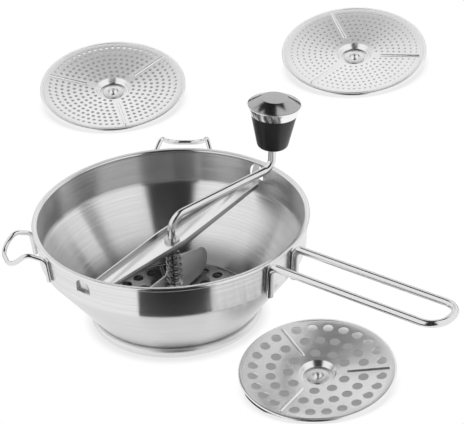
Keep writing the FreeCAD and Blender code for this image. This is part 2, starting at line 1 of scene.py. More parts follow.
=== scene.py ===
"""Looks of a hand-cranked food mill and its spare sieves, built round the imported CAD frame.

Sizes are in millimetres in the CAD frame: the origin is the middle of the foot on the table, +Z is up
and +X runs along the long handle. Meshes are made in metres.
"""

from __future__ import annotations

import logging
import math
from dataclasses import dataclass
from enum import Enum
from typing import Any

import bmesh
import bpy
from mathutils import Matrix, Vector

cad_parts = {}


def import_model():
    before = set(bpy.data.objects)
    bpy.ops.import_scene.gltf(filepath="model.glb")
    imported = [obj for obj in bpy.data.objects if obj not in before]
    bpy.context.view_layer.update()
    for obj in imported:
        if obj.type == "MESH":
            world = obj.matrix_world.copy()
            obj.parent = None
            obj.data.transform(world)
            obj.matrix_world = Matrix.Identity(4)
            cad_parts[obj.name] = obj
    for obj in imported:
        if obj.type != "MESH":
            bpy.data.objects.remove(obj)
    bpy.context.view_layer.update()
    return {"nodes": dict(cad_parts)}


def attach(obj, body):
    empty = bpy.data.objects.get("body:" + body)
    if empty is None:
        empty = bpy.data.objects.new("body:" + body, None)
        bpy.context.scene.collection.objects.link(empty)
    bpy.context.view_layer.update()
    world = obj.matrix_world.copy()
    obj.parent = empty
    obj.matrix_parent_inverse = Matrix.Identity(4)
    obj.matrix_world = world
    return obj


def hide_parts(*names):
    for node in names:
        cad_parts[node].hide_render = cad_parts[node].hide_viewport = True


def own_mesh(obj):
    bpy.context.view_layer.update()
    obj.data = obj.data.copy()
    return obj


LOG = logging.getLogger("food_mill")
MM = 0.001
IMAGE_WIDTH = 464

# Millimetres: a radius that counts as none, and gaps that are closed in copies of CAD nodes and in discs
ON_AXIS = 1e-6
SAME_SPOT = 0.002
SEAM = 0.01

# Degrees: bends that count as flat, and edges that stay sharp
FLAT_ANGLE = 0.6
SHARP = 35.0

# Steps of a bent wire, and the range that a noise pattern mostly keeps to
WIRE_SIDES = 28
WIRE_BEND_STEPS = 14
MIDDLE_RANGE = (0.3, 0.7)

WHOLE = "NodeSocketInt"
Point = tuple[float, float]
Spot = tuple[float, float, float]
Colour = tuple[float, float, float]
Bend = tuple[float, float, float, float]
Socket = bpy.types.NodeSocket


class Body(Enum):
    """The moving bodies that pieces ride on."""

    BOWL = "bowl"
    BRIDGE = "bridge"
    LIFT = "lift"
    CRANK = "crank"
    KNOB = "knob"
    MEDIUM = "medium_sieve"
    FINE = "fine_sieve"
    COARSE = "coarse_sieve"


class Grain(Enum):
    """The way a metal's fine scratches run."""

    ROUND = "round"
    LINES = "lines"
    CLOUDY = "cloudy"


# Meshes


def turn_z(degrees: float) -> Matrix:
    """A turn about the upright axis."""
    return Matrix.Rotation(math.radians(degrees), 4, "Z")


def rounded(points: list[Point], radii: dict[int, float], steps: int = 6) -> list[Point]:
    """Round some corners of a profile.

    Args:
        points: corners of the profile, in order.
        radii: bend radius by corner number; other corners stay sharp.
        steps: runs that each arc is made of.

    Returns:
        The profile with arcs in place of those corners.
    """
    out: list[Point] = []
    for number, point in enumerate(points):
        radius = radii.get(number)
        if not radius:
            out.append(point)
            continue
        corner = Vector(point)
        back = (Vector(points[number - 1]) - corner).normalized()
        ahead = (Vector(points[(number + 1) % len(points)]) - corner).normalized()
        half = back.angle(ahead) / 2
        centre = corner + (back + ahead).normalized() * (radius / math.sin(half))
        start = corner + back * (radius / math.tan(half)) - centre
        end = corner + ahead * (radius / math.tan(half)) - centre
        first = math.atan2(start.y, start.x)
        sweep = (math.atan2(end.y, end.x) - first + math.pi) % (2 * math.pi) - math.pi
        for step in range(steps + 1):
            angle = first + sweep * step / steps
            out.append((centre.x + radius * math.cos(angle), centre.y + radius * math.sin(angle)))
    return out


def round_bottom(radius: float, centre: float, sweep: float, steps: int) -> list[Point]:
    """The outline of a ball's lower part, from its lowest point outwards.

    Args:
        radius: the ball's radius.
        centre: height of its middle.
        sweep: angle from the lowest point to the last one, in radians.
        steps: runs that the arc is made of.

    Returns:
        Points of the arc.
    """
    leans = [sweep * step / steps for step in range(steps + 1)]
    return [(radius * math.sin(lean), centre - radius * math.cos(lean)) for lean in leans]


def sheet_outline(points: list[Point], bends: dict[int, float], thickness: float) -> list[Point]:
    """The closed outline of bent sheet.

    Args:
        points: corners of the sheet's middle line.
        bends: middle bend radius by corner number.
        thickness: sheet thickness.

    Returns:
        Outline points, up one side and back down the other.
    """
    sides: list[list[Point]] = []
    for shift in (thickness / 2, -thickness / 2):
        runs = [(Vector(b) - Vector(a)).normalized() for a, b in zip(points, points[1:])]
        lefts = [Vector((-run.y, run.x)) for run in runs]
        moved = [Vector(points[0]) + lefts[0] * shift]
        radii: dict[int, float] = {}
        for number in range(1, len(points) - 1):
            one, two = lefts[number - 1], lefts[number]
            moved.append(Vector(points[number]) + (one + two) * (shift / (1 + one.dot(two))))
            if number in bends:
                left_turn = runs[number - 1].cross(runs[number]) > 0
                radii[number] = bends[number] - shift if left_turn else bends[number] + shift
        moved.append(Vector(points[-1]) + lefts[-1] * shift)
        sides.append(rounded([(p.x, p.y) for p in moved], radii))
    return sides[0] + sides[1][::-1]


def lathe(
    shape: bmesh.types.BMesh,
    profile: list[Point],
    segments: int,
    closed: bool = True,
    place: Matrix | None = None,
) -> None:
    """Turn a profile about the upright axis and add the result to a mesh.

    Args:
        shape: the mesh under construction.
        profile: radius and height of each point, in millimetres.
        segments: steps round the circle.
        closed: whether the last point joins the first.
        place: where the turned form goes; the axis stays upright if left out.
    """
    rings: list[list[bmesh.types.BMVert]] = []
    for radius, height in profile:
        if radius < ON_AXIS:
            rings.append([shape.verts.new((0, 0, height * MM))])
            continue
        ring = []
        for step in range(segments):
            angle = 2 * math.pi * step / segments
            x, y = radius * MM * math.cos(angle), radius * MM * math.sin(angle)
            ring.append(shape.verts.new((x, y, height * MM)))
        rings.append(ring)
    faces = []
    pairs = list(zip(rings, rings[1:]))
    if closed:
        pairs.append((rings[-1], rings[0]))
    for low, high in pairs:
        for step in range(segments):
            after = (step + 1) % segments
            if len(low) == 1 and len(high) == 1:
                break
            if len(low) == 1:
                corners = [low[0], high[after], high[step]]
            elif len(high) == 1:
                corners = [low[step], low[after], high[0]]
            else:
                corners = [low[step], low[after], high[after], high[step]]
            faces.append(shape.faces.new(corners))
    if closed:
        bmesh.ops.recalc_face_normals(shape, faces=faces)
    if place is not None:
        verts = [vert for ring in rings for vert in ring]
        bmesh.ops.transform(shape, matrix=place, verts=verts)


def loft(shape: bmesh.types.BMesh, rows: list[list[Spot]], place: Matrix) -> None:
    """Add a closed form through rows of points, capped at both ends.

    Args:
        shape: the mesh under construction.
        rows: rings of points in millimetres, as many in each.
        place: where the form goes.
    """
    rings = [[shape.verts.new((x * MM, y * MM, z * MM)) for x, y, z in row] for row in rows]
    faces = [shape.faces.new(rings[0]), shape.faces.new(rings[-1])]
    for one, two in zip(rings, rings[1:]):
        for step in range(len(one)):
            after = (step + 1) % len(one)
            faces.append(shape.faces.new([one[step], one[after], two[after], two[step]]))
    bmesh.ops.recalc_face_normals(shape, faces=faces)
    verts = [vert for ring in rings for vert in ring]
    bmesh.ops.transform(shape, matrix=place, verts=verts)


def shade(mesh: bpy.types.Mesh, sharp: float) -> None:
    """Shade a mesh smooth, but for edges sharper than an angle in degrees."""
    mesh.shade_smooth()
    mesh.set_sharp_from_angle(angle=math.radians(sharp))


def link(name: str, mesh: bpy.types.Mesh) -> bpy.types.Object:
    """Link a mesh to the scene as an object at the origin.

    Args:
        name: name of the new object.
        mesh: its mesh.

    Returns:
        The new object.
    """
    obj = bpy.data.objects.new(name, mesh)
    bpy.context.scene.collection.objects.link(obj)
    return obj


def to_object(shape: bmesh.types.BMesh, name: str, sharp: float = SHARP) -> bpy.types.Object:
    """Make an object of a finished mesh.

    Args:
        shape: the mesh, which is used up.
        name: name of the new object.
        sharp: angle in degrees past which an edge stays sharp.

    Returns:
        The new object.
    """
    mesh = bpy.data.meshes.new(name)
    shape.to_mesh(mesh)
    shape.free()
    shade(mesh, sharp)
    return link(name, mesh)


def settle(obj: bpy.types.Object, sharp: float = SHARP) -> None:
    """Turn an object's modifiers into plain mesh and shade it again.

    Args:
        obj: the object.
        sharp: angle in degrees past which an edge stays sharp.
    """
    bpy.context.view_layer.update()
    graph = bpy.context.evaluated_depsgraph_get()
    mesh = bpy.data.meshes.new_from_object(obj.evaluated_get(graph), depsgraph=graph)
    mesh.name = obj.name
    obj.modifiers.clear()
    obj.data = mesh
    shade(mesh, sharp)


def cut(obj: bpy.types.Object, tool: bmesh.types.BMesh) -> None:
    """Cut a closed form out of an object.

    Args:
        obj: the object.
        tool: the form, which is used up.
    """
    knife = to_object(tool, "knife")
    modifier = obj.modifiers.new("cut", "BOOLEAN")
    modifier.operation = "DIFFERENCE"
    modifier.solver = "EXACT"
    modifier.object = knife
    settle(obj)
    bpy.data.objects.remove(knife)


def soften(obj: bpy.types.Object, width: float, segments: int) -> None:
    """Round an object's sharp edges a little.

    Args:
        obj: the object.
        width: width of the rounding, in millimetres.
        segments: steps across the rounding.
    """
    modifier = obj.modifiers.new("edges", "BEVEL")
    modifier.width = width * MM
    modifier.segments = segments
    modifier.limit_method = "ANGLE"
    modifier.angle_limit = math.radians(SHARP)
    settle(obj)


def clean_copy(node: str, name: str) -> bpy.types.Object:
    """A joined-up copy of a CAD node's mesh, its flat faces made whole.

    Args:
        node: the CAD node.
        name: name of the new object.

    Returns:
        The new object, in the same place.
    """
    shape = bmesh.new()
    shape.from_mesh(bpy.data.objects[node].data)
    bmesh.ops.remove_doubles(shape, verts=shape.verts, dist=SAME_SPOT * MM)
    flat = math.radians(FLAT_ANGLE)
    bmesh.ops.dissolve_limit(shape, angle_limit=flat, verts=shape.verts, edges=shape.edges)
    obj = to_object(shape, name)
    obj.data.materials.clear()
    return obj


# Node trees


class NodeWork:
    """A node tree under construction."""

    def __init__(self, tree: bpy.types.NodeTree) -> None:
        """Take up a tree."""
        self.tree = tree

    def add(self, kind: str, inputs: dict[Any, Any] | None = None, **settings: Any) -> bpy.types.Node:
        """Add a node.

        Args:
            kind: the node's type.
            inputs: a socket to link or a value to set, by input name or number.
            settings: the node's own properties.

        Returns:
            The new node.
        """
        node = self.tree.nodes.new(kind)
        for key, value in settings.items():
            setattr(node, key, value)
        for key, value in (inputs or {}).items():
            self.feed(node.inputs[key], value)
        return node

    def feed(self, socket: Socket, value: Any) -> None:
        """Link a socket to an input, or set the input's own value.

        Args:
            socket: the input.
            value: the socket to link, or the value to set.
        """
        if isinstance(value, bpy.types.NodeSocket):
            self.tree.links.new(value, socket)
        else:
            socket.default_value = value

    def sum(self, operation: str, first: Any, second: Any = 0.0) -> Socket:
        """The result of a sum on two numbers."""
        return self.add("ShaderNodeMath", {0: first, 1: second}, operation=operation).outputs[0]

    def blend(self, share: Any, first: Any, second: Any) -> Socket:
        """A number between two: the first at a share of nought, the second at one."""
        return self.add("ShaderNodeMix", {0: share, 2: first, 3: second}).outputs[0]

    def remap(self, value: Any, across: Point, onto: Point, **settings: Any) -> Socket:
        """A number taken from one range to another and kept in it.

        Args:
            value: the number.
            across: the range that it comes from.
            onto: the range that it goes to.
            settings: the node's own properties.

        Returns:
            The new number.
        """
        inputs = {"Value": value, "From Min": across[0], "From Max": across[1]}
        inputs |= {"To Min": onto[0], "To Max": onto[1]}
        return self.add("ShaderNodeMapRange", inputs, **settings).outputs[0]

    def length(self, vector: Socket) -> Socket:
        """A vector's length."""
        return self.add("ShaderNodeVectorMath", {0: vector}, operation="LENGTH").outputs["Value"]

    def part(self, vector: Socket, axis: int) -> Socket:
        """A vector's part along one axis."""
        return self.add("ShaderNodeSeparateXYZ", {0: vector}).outputs[axis]

    def vector(self, *parts: Any) -> Socket:
        """A vector of up to three parts."""
        return self.add("ShaderNodeCombineXYZ", dict(enumerate(parts))).outputs[0]


class Recipe(NodeWork):
    """A Geometry Nodes tree with named inputs for its sizes."""

    def __init__(self, name: str) -> None:
        """Start an empty tree.

        Args:
            name: name of the tree.
        """
        super().__init__(bpy.data.node_groups.new(name, "GeometryNodeTree"))
        self.source = self.add("NodeGroupInput")
        self.sink = self.add("NodeGroupOutput")
        self.names: dict[str, str] = {}
        self.tree.interface.new_socket("Geometry", in_out="OUTPUT", socket_type="NodeSocketGeometry")
        self.size("Geometry", "NodeSocketGeometry")

    def size(self, name: str, kind: str = "NodeSocketFloat") -> Socket:
        """Add a named input.

        Args:
            name: the input's name.
            kind: its socket type.

        Returns:
            Its socket inside the tree.
        """
        item = self.tree.interface.new_socket(name, in_out="INPUT", socket_type=kind)
        self.names[name] = item.identifier
        return self.source.outputs[name]

    def circle(self, steps: Socket, radius: Socket) -> Socket:
        """A round line."""
        inputs = {"Resolution": steps, "Radius": radius}
        return self.add("GeometryNodeCurvePrimitiveCircle", inputs, mode="RADIUS").outputs[0]

    def tube(self, path: Socket, sides: Socket, radius: Socket) -> Socket:
        """A round wire along a line."""
        inputs = {"Curve": path, "Profile Curve": self.circle(sides, radius), "Fill Caps": True}
        return self.add("GeometryNodeCurveToMesh", inputs).outputs[0]

    def shift(self, geometry: Socket, height: Socket) -> Socket:
        """A geometry with its points raised."""
        inputs = {"Geometry": geometry, "Offset": self.vector(0.0, 0.0, height)}
        return self.add("GeometryNodeSetPosition", inputs).outputs[0]

    def join(self, *parts: Socket) -> Socket:
        """Several geometries as one.

        Args:
            parts: the geometries.

        Returns:
            The joined geometry.
        """
        node = self.add("GeometryNodeJoinGeometry")
        for part in parts:
            self.feed(node.inputs[0], part)
        return node.outputs[0]

    def close(self, geometry: Socket) -> None:
        """End the tree: real geometry, in the finish given as an input.

        Args:
            geometry: what the tree has made.
        """
        finish = self.size("Finish", "NodeSocketMaterial")
        real = self.add("GeometryNodeRealizeInstances", {0: geometry}).outputs[0]
        smooth = self.add("GeometryNodeSetShadeSmooth", {0: real}).outputs[0]
        dressed = self.add("GeometryNodeSetMaterial", {"Geometry": smooth, "Material": finish}).outputs[0]
        self.feed(self.sink.inputs[0], dressed)

    def make(self, obj: bpy.types.Object, values: dict[str, Any]) -> None:
        """Run the tree on an object and keep the result as plain mesh.

        Args:
            obj: the object, whose mesh is the tree's geometry input.
            values: a value for each named input.
        """
        modifier = obj.modifiers.new("shape", "NODES")
        modifier.node_group = self.tree
        for name, value in values.items():
            modifier[self.names[name]] = value
        settle(obj)


def wire_recipe() -> Recipe:
    """A round wire along a run of points, bent at each one by that point's own radius.

    Returns:
        The finished tree.
    """
    recipe = Recipe("bent wire")
    radius = recipe.size("Wire Radius")
    bend_steps = recipe.size("Bend Steps", WHOLE)
    sides = recipe.size("Sides", WHOLE)
    path = recipe.add("GeometryNodeMeshToCurve", {0: recipe.source.outputs["Geometry"]}).outputs[0]
    bend = recipe.add("GeometryNodeInputNamedAttribute", {"Name": "bend"}, data_type="FLOAT").outputs[0]
    inputs = {"Curve": path, "Count": bend_steps, "Radius": bend}
    bent = recipe.add("GeometryNodeFilletCurve", inputs, mode="POLY").outputs[0]
    recipe.close(recipe.tube(bent, sides, radius))
    return recipe


def coil_recipe() -> Recipe:
    """A round wire wound into an even coil.

    Returns:
        The finished tree.
    """
    recipe = Recipe("coil")
    inputs = {
        "Rotations": recipe.size("Turns"),
        "Resolution": recipe.size("Turn Steps", WHOLE),
        "Height": recipe.size("Height"),
    }
    mean = recipe.size("Mean Radius")
    inputs |= {"Start Radius": mean, "End Radius": mean}
    path = recipe.add("GeometryNodeCurveSpiral", inputs).outputs[0]
    wire = recipe.tube(path, recipe.size("Sides", WHOLE), recipe.size("Wire Radius"))
    recipe.close(recipe.shift(wire, recipe.size("Foot")))
    return recipe


def pierced_recipe() -> Recipe:
    """The sloping part of a sieve: rings of round holes, broken by the ribs' lands.

    Returns:
        The finished tree.
    """
    recipe = Recipe("pierced dish")
    hole = recipe.size("Hole Radius")
    hole_steps = recipe.size("Hole Steps", WHOLE)
    rings = recipe.size("Rings", WHOLE)
    first = recipe.size("First Ring")
    last = recipe.size("Last Ring")
    pitch = recipe.size("Pitch")
    land = recipe.size("Land")
    ribs = recipe.size("Ribs", WHOLE)
    outer = recipe.size("Dish Outer")
    inner = recipe.size("Dish Inner")
    rise = recipe.size("Rise")
    steps = recipe.size("Edge Steps", WHOLE)

    begin = recipe.add("GeometryNodeRepeatInput")
    end = recipe.add("GeometryNodeRepeatOutput")
    begin.pair_with_output(end)
    recipe.feed(begin.inputs["Iterations"], rings)
    share = recipe.sum("DIVIDE", begin.outputs["Iteration"], recipe.sum("SUBTRACT", rings, 1.0))
    radius = recipe.sum("ADD", first, recipe.sum("MULTIPLY", recipe.sum("SUBTRACT", last, first), share))
    sector = recipe.sum("DIVIDE", 2 * math.pi, ribs)
    arc = recipe.sum("SUBTRACT", recipe.sum("MULTIPLY", sector, radius), land)
    count = recipe.sum("ROUND", recipe.sum("DIVIDE", arc, pitch))
    index = recipe.add("GeometryNodeInputIndex").outputs[0]
    part = recipe.sum("FLOOR", recipe.sum("DIVIDE", recipe.sum("ADD", index, 0.5), count))
    within = recipe.sum("SUBTRACT", index, recipe.sum("MULTIPLY", part, count))
    along = recipe.sum("MULTIPLY", recipe.sum("ADD", within, 0.5), recipe.sum("DIVIDE", arc, count))
    swing = recipe.sum("DIVIDE", recipe.sum("ADD", along, recipe.sum("MULTIPLY", land, 0.5)), radius)
    angle = recipe.sum("ADD", swing, recipe.sum("MULTIPLY", part, sector))
    across = recipe.sum("MULTIPLY", radius, recipe.sum("COSINE", angle))
    away = recipe.sum("MULTIPLY", radius, recipe.sum("SINE", angle))
    total = recipe.sum("MULTIPLY", count, ribs)
    inputs = {"Count": total, "Position": recipe.vector(across, away)}
    sites = recipe.add("GeometryNodePoints", inputs).outputs[0]
    recipe.feed(end.inputs["Geometry"], recipe.join(begin.outputs["Geometry"], sites))

    inputs = {"Points": end.outputs["Geometry"], "Instance": recipe.circle(hole_steps, hole)}
    punched = recipe.add("GeometryNodeInstanceOnPoints", inputs).outputs[0]
    holes = recipe.add("GeometryNodeRealizeInstances", {0: punched}).outputs[0]
    lines = recipe.join(holes, recipe.circle(steps, outer), recipe.circle(steps, inner))
    plate = recipe.add("GeometryNodeFillCurve", {"Curve": lines}, mode="TRIANGLES").outputs[0]
    reach = recipe.length(recipe.add("GeometryNodeInputPosition").outputs[0])
    drop = recipe.sum("MULTIPLY", recipe.sum("SUBTRACT", reach, outer), rise)
    recipe.close(recipe.shift(plate, drop))
    return recipe


# Finishes


class Paint(NodeWork):
    """A node material under construction."""

    def __init__(self, name: str) -> None:
        """Start a material with one surface shader.

        Args:
            name: name of the material.
        """
        self.material = bpy.data.materials.new(name)
        self.material.use_nodes = True
        super().__init__(self.material.node_tree)
        self.surface = self.tree.nodes["Principled BSDF"]
        self.coordinates = self.add("ShaderNodeTexCoord").outputs["Object"]

    def give(self, name: str, value: Any) -> None:
        """Link or set one of the surface's inputs."""
        self.feed(self.surface.inputs[name], value)

    def spread(self, pattern: Socket, low: float, high: float) -> Socket:
        """A pattern's middle range, spread between two numbers."""
        return self.remap(pattern, MIDDLE_RANGE, (low, high))

    def noise(self, vector: Socket, scale: float, detail: float = 2.0) -> Socket:
        """A noise pattern's value."""
        inputs = {"Vector": vector, "Scale": scale, "Detail": detail}
        return self.add("ShaderNodeTexNoise", inputs).outputs[0]

    def tint(self, pattern: Socket, dark: Colour, light: Colour) -> Socket:
        """A colour between two, by a pattern."""
        inputs = {0: pattern, 6: (*dark, 1.0), 7: (*light, 1.0)}
        return self.add("ShaderNodeMix", inputs, data_type="RGBA").outputs[2]

    def darken(self, colour: Socket, level: Socket) -> Socket:
        """A colour times a number."""
        return self.add("ShaderNodeVectorMath", {0: colour, 3: level}, operation="SCALE").outputs[0]

    def facing_up(self) -> Socket:
        """How far the surface faces up: one for a level top, nought for an upright side."""
        return self.part(self.add("ShaderNodeNewGeometry").outputs["Normal"], 2)

    def bump(self, height: Socket, depth: float, strength: float) -> None:
        """Raise the surface by a pattern."""
        inputs = {"Height": height, "Distance": depth, "Strength": strength}
        self.give("Normal", self.add("ShaderNodeBump", inputs).outputs[0])


@dataclass(frozen=True)
class Metal:
    """Bare steel with fine scratches that run one way.

    Fineness counts the scratches' noise cells to the metre, and a stretch makes them long.
    """

    name: str
    colour: float
    roughness: float
    grain: Grain
    fineness: float
    depth: float
    anisotropy: float = 0.0
    smear: float = 0.03
    contrast: float = 0.05
    direction: float = 0.0
    # Painted shade: the colour's share on upright faces, standing in for the dark surroundings that they
    # mirror
    upright: float = 1.0
    # Painted shade low inside, towards the seat: the colour's share there, the heights it fades over, and how
    # far up a face must point to count as inside
    seat_shade: float = 1.0
    seat_shade_heights: Point = (14.0, 36.0)
    inside_facing: float = 0.3
    line_stretch: float = 0.02
    round_stretch: float = 1.6
    detail: float = 3.0
    cloud_scale: float = 38.0
    across_brushing: float = 0.25
    relief: float = 0.6

    def build(self, place: Matrix | None = None) -> bpy.types.Material:
        """Make the material.

        Args:
            place: where the piece's own axis lies, for scratches that run round it.

        Returns:
            The new material.
        """
        paint = Paint(self.name)
        own = paint.add("ShaderNodeMapping", {"Vector": paint.coordinates}, vector_type="TEXTURE")
        if place is not None:
            paint.feed(own.inputs["Location"], place.to_translation())
            paint.feed(own.inputs["Rotation"], place.to_euler())
        vector = own.outputs[0]
        scratch = paint.noise(self._scratch_vector(paint, vector), 1.0, self.detail)
        cloud = paint.noise(vector, self.cloud_scale, self.detail)
        mixed = paint.sum("MULTIPLY", paint.sum("ADD", scratch, cloud), 0.5)
        low, high = self.colour * (1 - self.contrast), min(1.0, self.colour * (1 + self.contrast))
        colour = paint.tint(scratch, (low, low, low), (high, high, high))
        # Painted shade on upright faces
        if self.upright < 1.0:
            colour = self._painted_side_shade(paint, colour)
        # Painted shade inside, low towards the seat
        if self.seat_shade < 1.0:
            colour = self._painted_seat_shade(paint, colour)
        paint.give("Base Color", colour)
        paint.give("Roughness", paint.spread(mixed, self.roughness - self.smear, self.roughness + self.smear))
        paint.give("Metallic", 1.0)
        if self.anisotropy:
            paint.give("Anisotropic", self.anisotropy)
            paint.give("Anisotropic Rotation", self.across_brushing)
            tangent = paint.add("ShaderNodeTangent", direction_type="RADIAL", axis="Z")
            paint.give("Tangent", tangent.outputs[0])
        paint.bump(scratch, self.depth * MM, self.relief)
        return paint.material

    def _painted_side_shade(self, paint: Paint, colour: Socket) -> Socket:
        """The colour, darker where the surface stands upright: painted shade for the dark surroundings that
        it mirrors.
        """
        level = paint.remap(paint.facing_up(), (0.0, 1.0), (self.upright, 1.0))
        return paint.darken(colour, level)

    def _painted_seat_shade(self, paint: Paint, colour: Socket) -> Socket:
        """The colour, darker inside towards the seat that the blade sweeps over: painted shade.

        Args:
            paint: the material.
            colour: the colour elsewhere.

        Returns:
            The new colour.
        """
        inside = paint.sum("GREATER_THAN", paint.facing_up(), self.inside_facing)
        low, high = self.seat_shade_heights
        height = paint.part(paint.coordinates, 2)
        across = (low * MM, high * MM)
        level = paint.remap(height, across, (self.seat_shade, 1.0), interpolation_type="SMOOTHSTEP")
        return paint.darken(colour, paint.blend(inside, 1.0, level))

    def _scratch_vector(self, paint: Paint, vector: Socket) -> Socket:
        """Coordinates that change fast across the scratches and slowly along them.

        Args:
            paint: the material.
            vector: the piece's own coordinates.

        Returns:
            The stretched coordinates.
        """
        if self.grain is Grain.CLOUDY:
            scale = (self.fineness,) * 3
            return paint.add("ShaderNodeMapping", {"Vector": vector, "Scale": scale}).outputs[0]
        if self.grain is Grain.LINES:
            swing = (0.0, 0.0, math.radians(-self.direction))
            along = paint.add("ShaderNodeMapping", {"Vector": vector, "Rotation": swing}).outputs[0]
            scale = (self.fineness * self.line_stretch, self.fineness, self.fineness)
            return paint.add("ShaderNodeMapping", {"Vector": along, "Scale": scale}).outputs[0]
        level = {0: vector, 1: (1.0, 1.0, 0.0)}
        flat = paint.add("ShaderNodeVectorMath", level, operation="MULTIPLY").outputs[0]
        way = paint.add("ShaderNodeVectorMath", {0: flat}, operation="NORMALIZE").outputs[0]
        across = paint.sum("ADD", paint.length(flat), paint.part(vector, 2))
        slow = [paint.sum("MULTIPLY", paint.part(way, axis), self.round_stretch) for axis in (0, 1)]
        return paint.vector(*slow, paint.sum("MULTIPLY", across, self.fineness))


@dataclass(frozen=True)
class Moulding:
    """Satin plastic with a faint moulded grain."""

    name: str
    colour: Colour
    roughness: float
    shades: Point = (0.8, 1.3)
    smear: Point = (0.04, 0.05)
    wear_scale: float = 60.0
    wear_detail: float = 3.0
    grain_scale: float = 2600.0
    grain_depth: float = 0.02
    relief: float = 0.25

    def build(self) -> bpy.types.Material:
        """Make the material.

        Returns:
            The new material.
        """
        paint = Paint(self.name)
        wear = paint.noise(paint.coordinates, self.wear_scale, self.wear_detail)
        dark, light = (tuple(part * shade_of for part in self.colour) for shade_of in self.shades)
        paint.give("Base Color", paint.tint(wear, dark, light))
        smoother, rougher = self.smear
        paint.give("Roughness", paint.spread(wear, self.roughness - smoother, self.roughness + rougher))
        grain = paint.noise(paint.coordinates, self.grain_scale)
        paint.bump(grain, self.grain_depth * MM, self.relief)
        return paint.material


# The first numbers of a metal are its colour and roughness, and those after the grain its fineness and depth.
# The bowl steel carries painted shade low inside, towards the seat
BOWL_STEEL = Metal(
    "bowl steel, brushed round", 0.78, 0.22, Grain.ROUND, 900.0, 0.005,
    anisotropy=1.0, contrast=0.17, seat_shade=0.3,
)
FOOT_STEEL = Metal("foot steel", 0.84, 0.42, Grain.ROUND, 700.0, 0.008, anisotropy=0.4)
WIRE_STEEL = Metal("polished wire", 0.76, 0.17, Grain.CLOUDY, 900.0, 0.002)
SIEVE_STEEL = Metal("sieve sheet", 0.88, 0.25, Grain.ROUND, 1100.0, 0.006)
# Painted shade: the seated sieve's sheet is the sieve sheet made darker for the shade inside the bowl
SEATED_STEEL_PAINTED_SHADE = Metal("seated sieve sheet", 0.36, 0.16, Grain.ROUND, 1100.0, 0.006)
CUP_STEEL = Metal("polished cup", 0.9, 0.28, Grain.CLOUDY, 700.0, 0.002)
# The bridge sheet's upright sides carry painted shade (upright below one)
BRIDGE_STEEL = Metal("bridge sheet", 0.82, 0.2, Grain.LINES, 1500.0, 0.006, direction=88.5, upright=0.42)
BLADE_STEEL = Metal("blade sheet", 0.96, 0.62, Grain.LINES, 1300.0, 0.006, direction=92.5)
TURNED_STEEL = Metal("turned steel", 0.6, 0.22, Grain.ROUND, 1600.0, 0.006)
SPRING_STEEL = Metal("spring wire", 0.3, 0.16, Grain.CLOUDY, 1400.0, 0.004)
CAP_CHROME = Metal("grey chrome", 0.42, 0.18, Grain.CLOUDY, 400.0, 0.001, smear=0.015)
BAND_CHROME = Metal("bright chrome", 0.92, 0.14, Grain.CLOUDY, 400.0, 0.001)
GRIP_BLACK = Moulding("black satin grip", (0.012, 0.012, 0.012), 0.36)
SLEEVE_PALE = Moulding("pale bearing plastic", (0.6, 0.6, 0.57), 0.45)


# Pieces


def show(obj: bpy.types.Object, body: Body, node: str) -> None:
    """Hang a finished piece on its body in place of a CAD node, and report it.

    Args:
        obj: the piece.
        body: the body that it rides on.
        node: the CAD node that it stands for.
    """
    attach(obj, body.value)
    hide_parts(node)
    obj.data.calc_loop_triangles()
    LOG.info("%s: %d triangles on %s", obj.name, len(obj.data.loop_triangles), body.value)


def dress(obj: bpy.types.Object, material: bpy.types.Material) -> bpy.types.Object:
    """Give a piece one finish all over.

    Args:
        obj: the piece.
        material: its finish.

    Returns:
        The same piece.
    """
    obj.data.materials.clear()
    obj.data.materials.append(material)
    return obj


def turned(
    name: str,
    outline: list[Point],
    segments: int,
    material: bpy.types.Material,
    place: Matrix | None = None,
    sharp: float = SHARP,
) -> bpy.types.Object:
    """Make one turned piece.

    Args:
        name: name of the new object.
        outline: closed outline of radius and height.
        segments: steps round the circle.
        material: its finish.
        place: where it goes; its axis is the bowl's if left out.
        sharp: angle in degrees past which an edge stays sharp.

    Returns:
        The dressed piece.
    """
    shape = bmesh.new()
    lathe(shape, outline, segments, place=place)
    return dress(to_object(shape, name, sharp), material)


def bent_wire(
    recipe: Recipe,
    name: str,
    corners: list[Bend],
    radius: float,
    material: bpy.types.Material,
    azimuth: float,
) -> bpy.types.Object:
    """Make one bent wire.

    Args:
        recipe: the wire's tree.
        name: name of the new object.
        corners: place of each corner of its middle line, and the bend radius there.
        radius: the wire's radius.
        material: its finish.
        azimuth: turn about the bowl's axis.

    Returns:
        The wire as a mesh object.
    """
    mesh = bpy.data.meshes.new(name)
    places = [turn_z(azimuth) @ Vector((x, y, z)) * MM for x, y, z, _ in corners]
    mesh.from_pydata(places, [(n, n + 1) for n in range(len(places) - 1)], [])
    bends = mesh.attributes.new("bend", "FLOAT", "POINT")
    for number, corner in enumerate(corners):
        bends.data[number].value = corner[3] * MM
    wire = link(name, mesh)
    values = {"Wire Radius": radius * MM, "Bend Steps": WIRE_BEND_STEPS, "Sides": WIRE_SIDES}
    recipe.make(wire, values | {"Finish": material})
    return wire


def both_sides(side: list[Bend]) -> list[Bend]:
    """A wire's corners down one side, and back along the other as in a mirror."""
    return side + [(x, -y, z, bend) for x, y, z, bend in reversed(side)]


# The mill


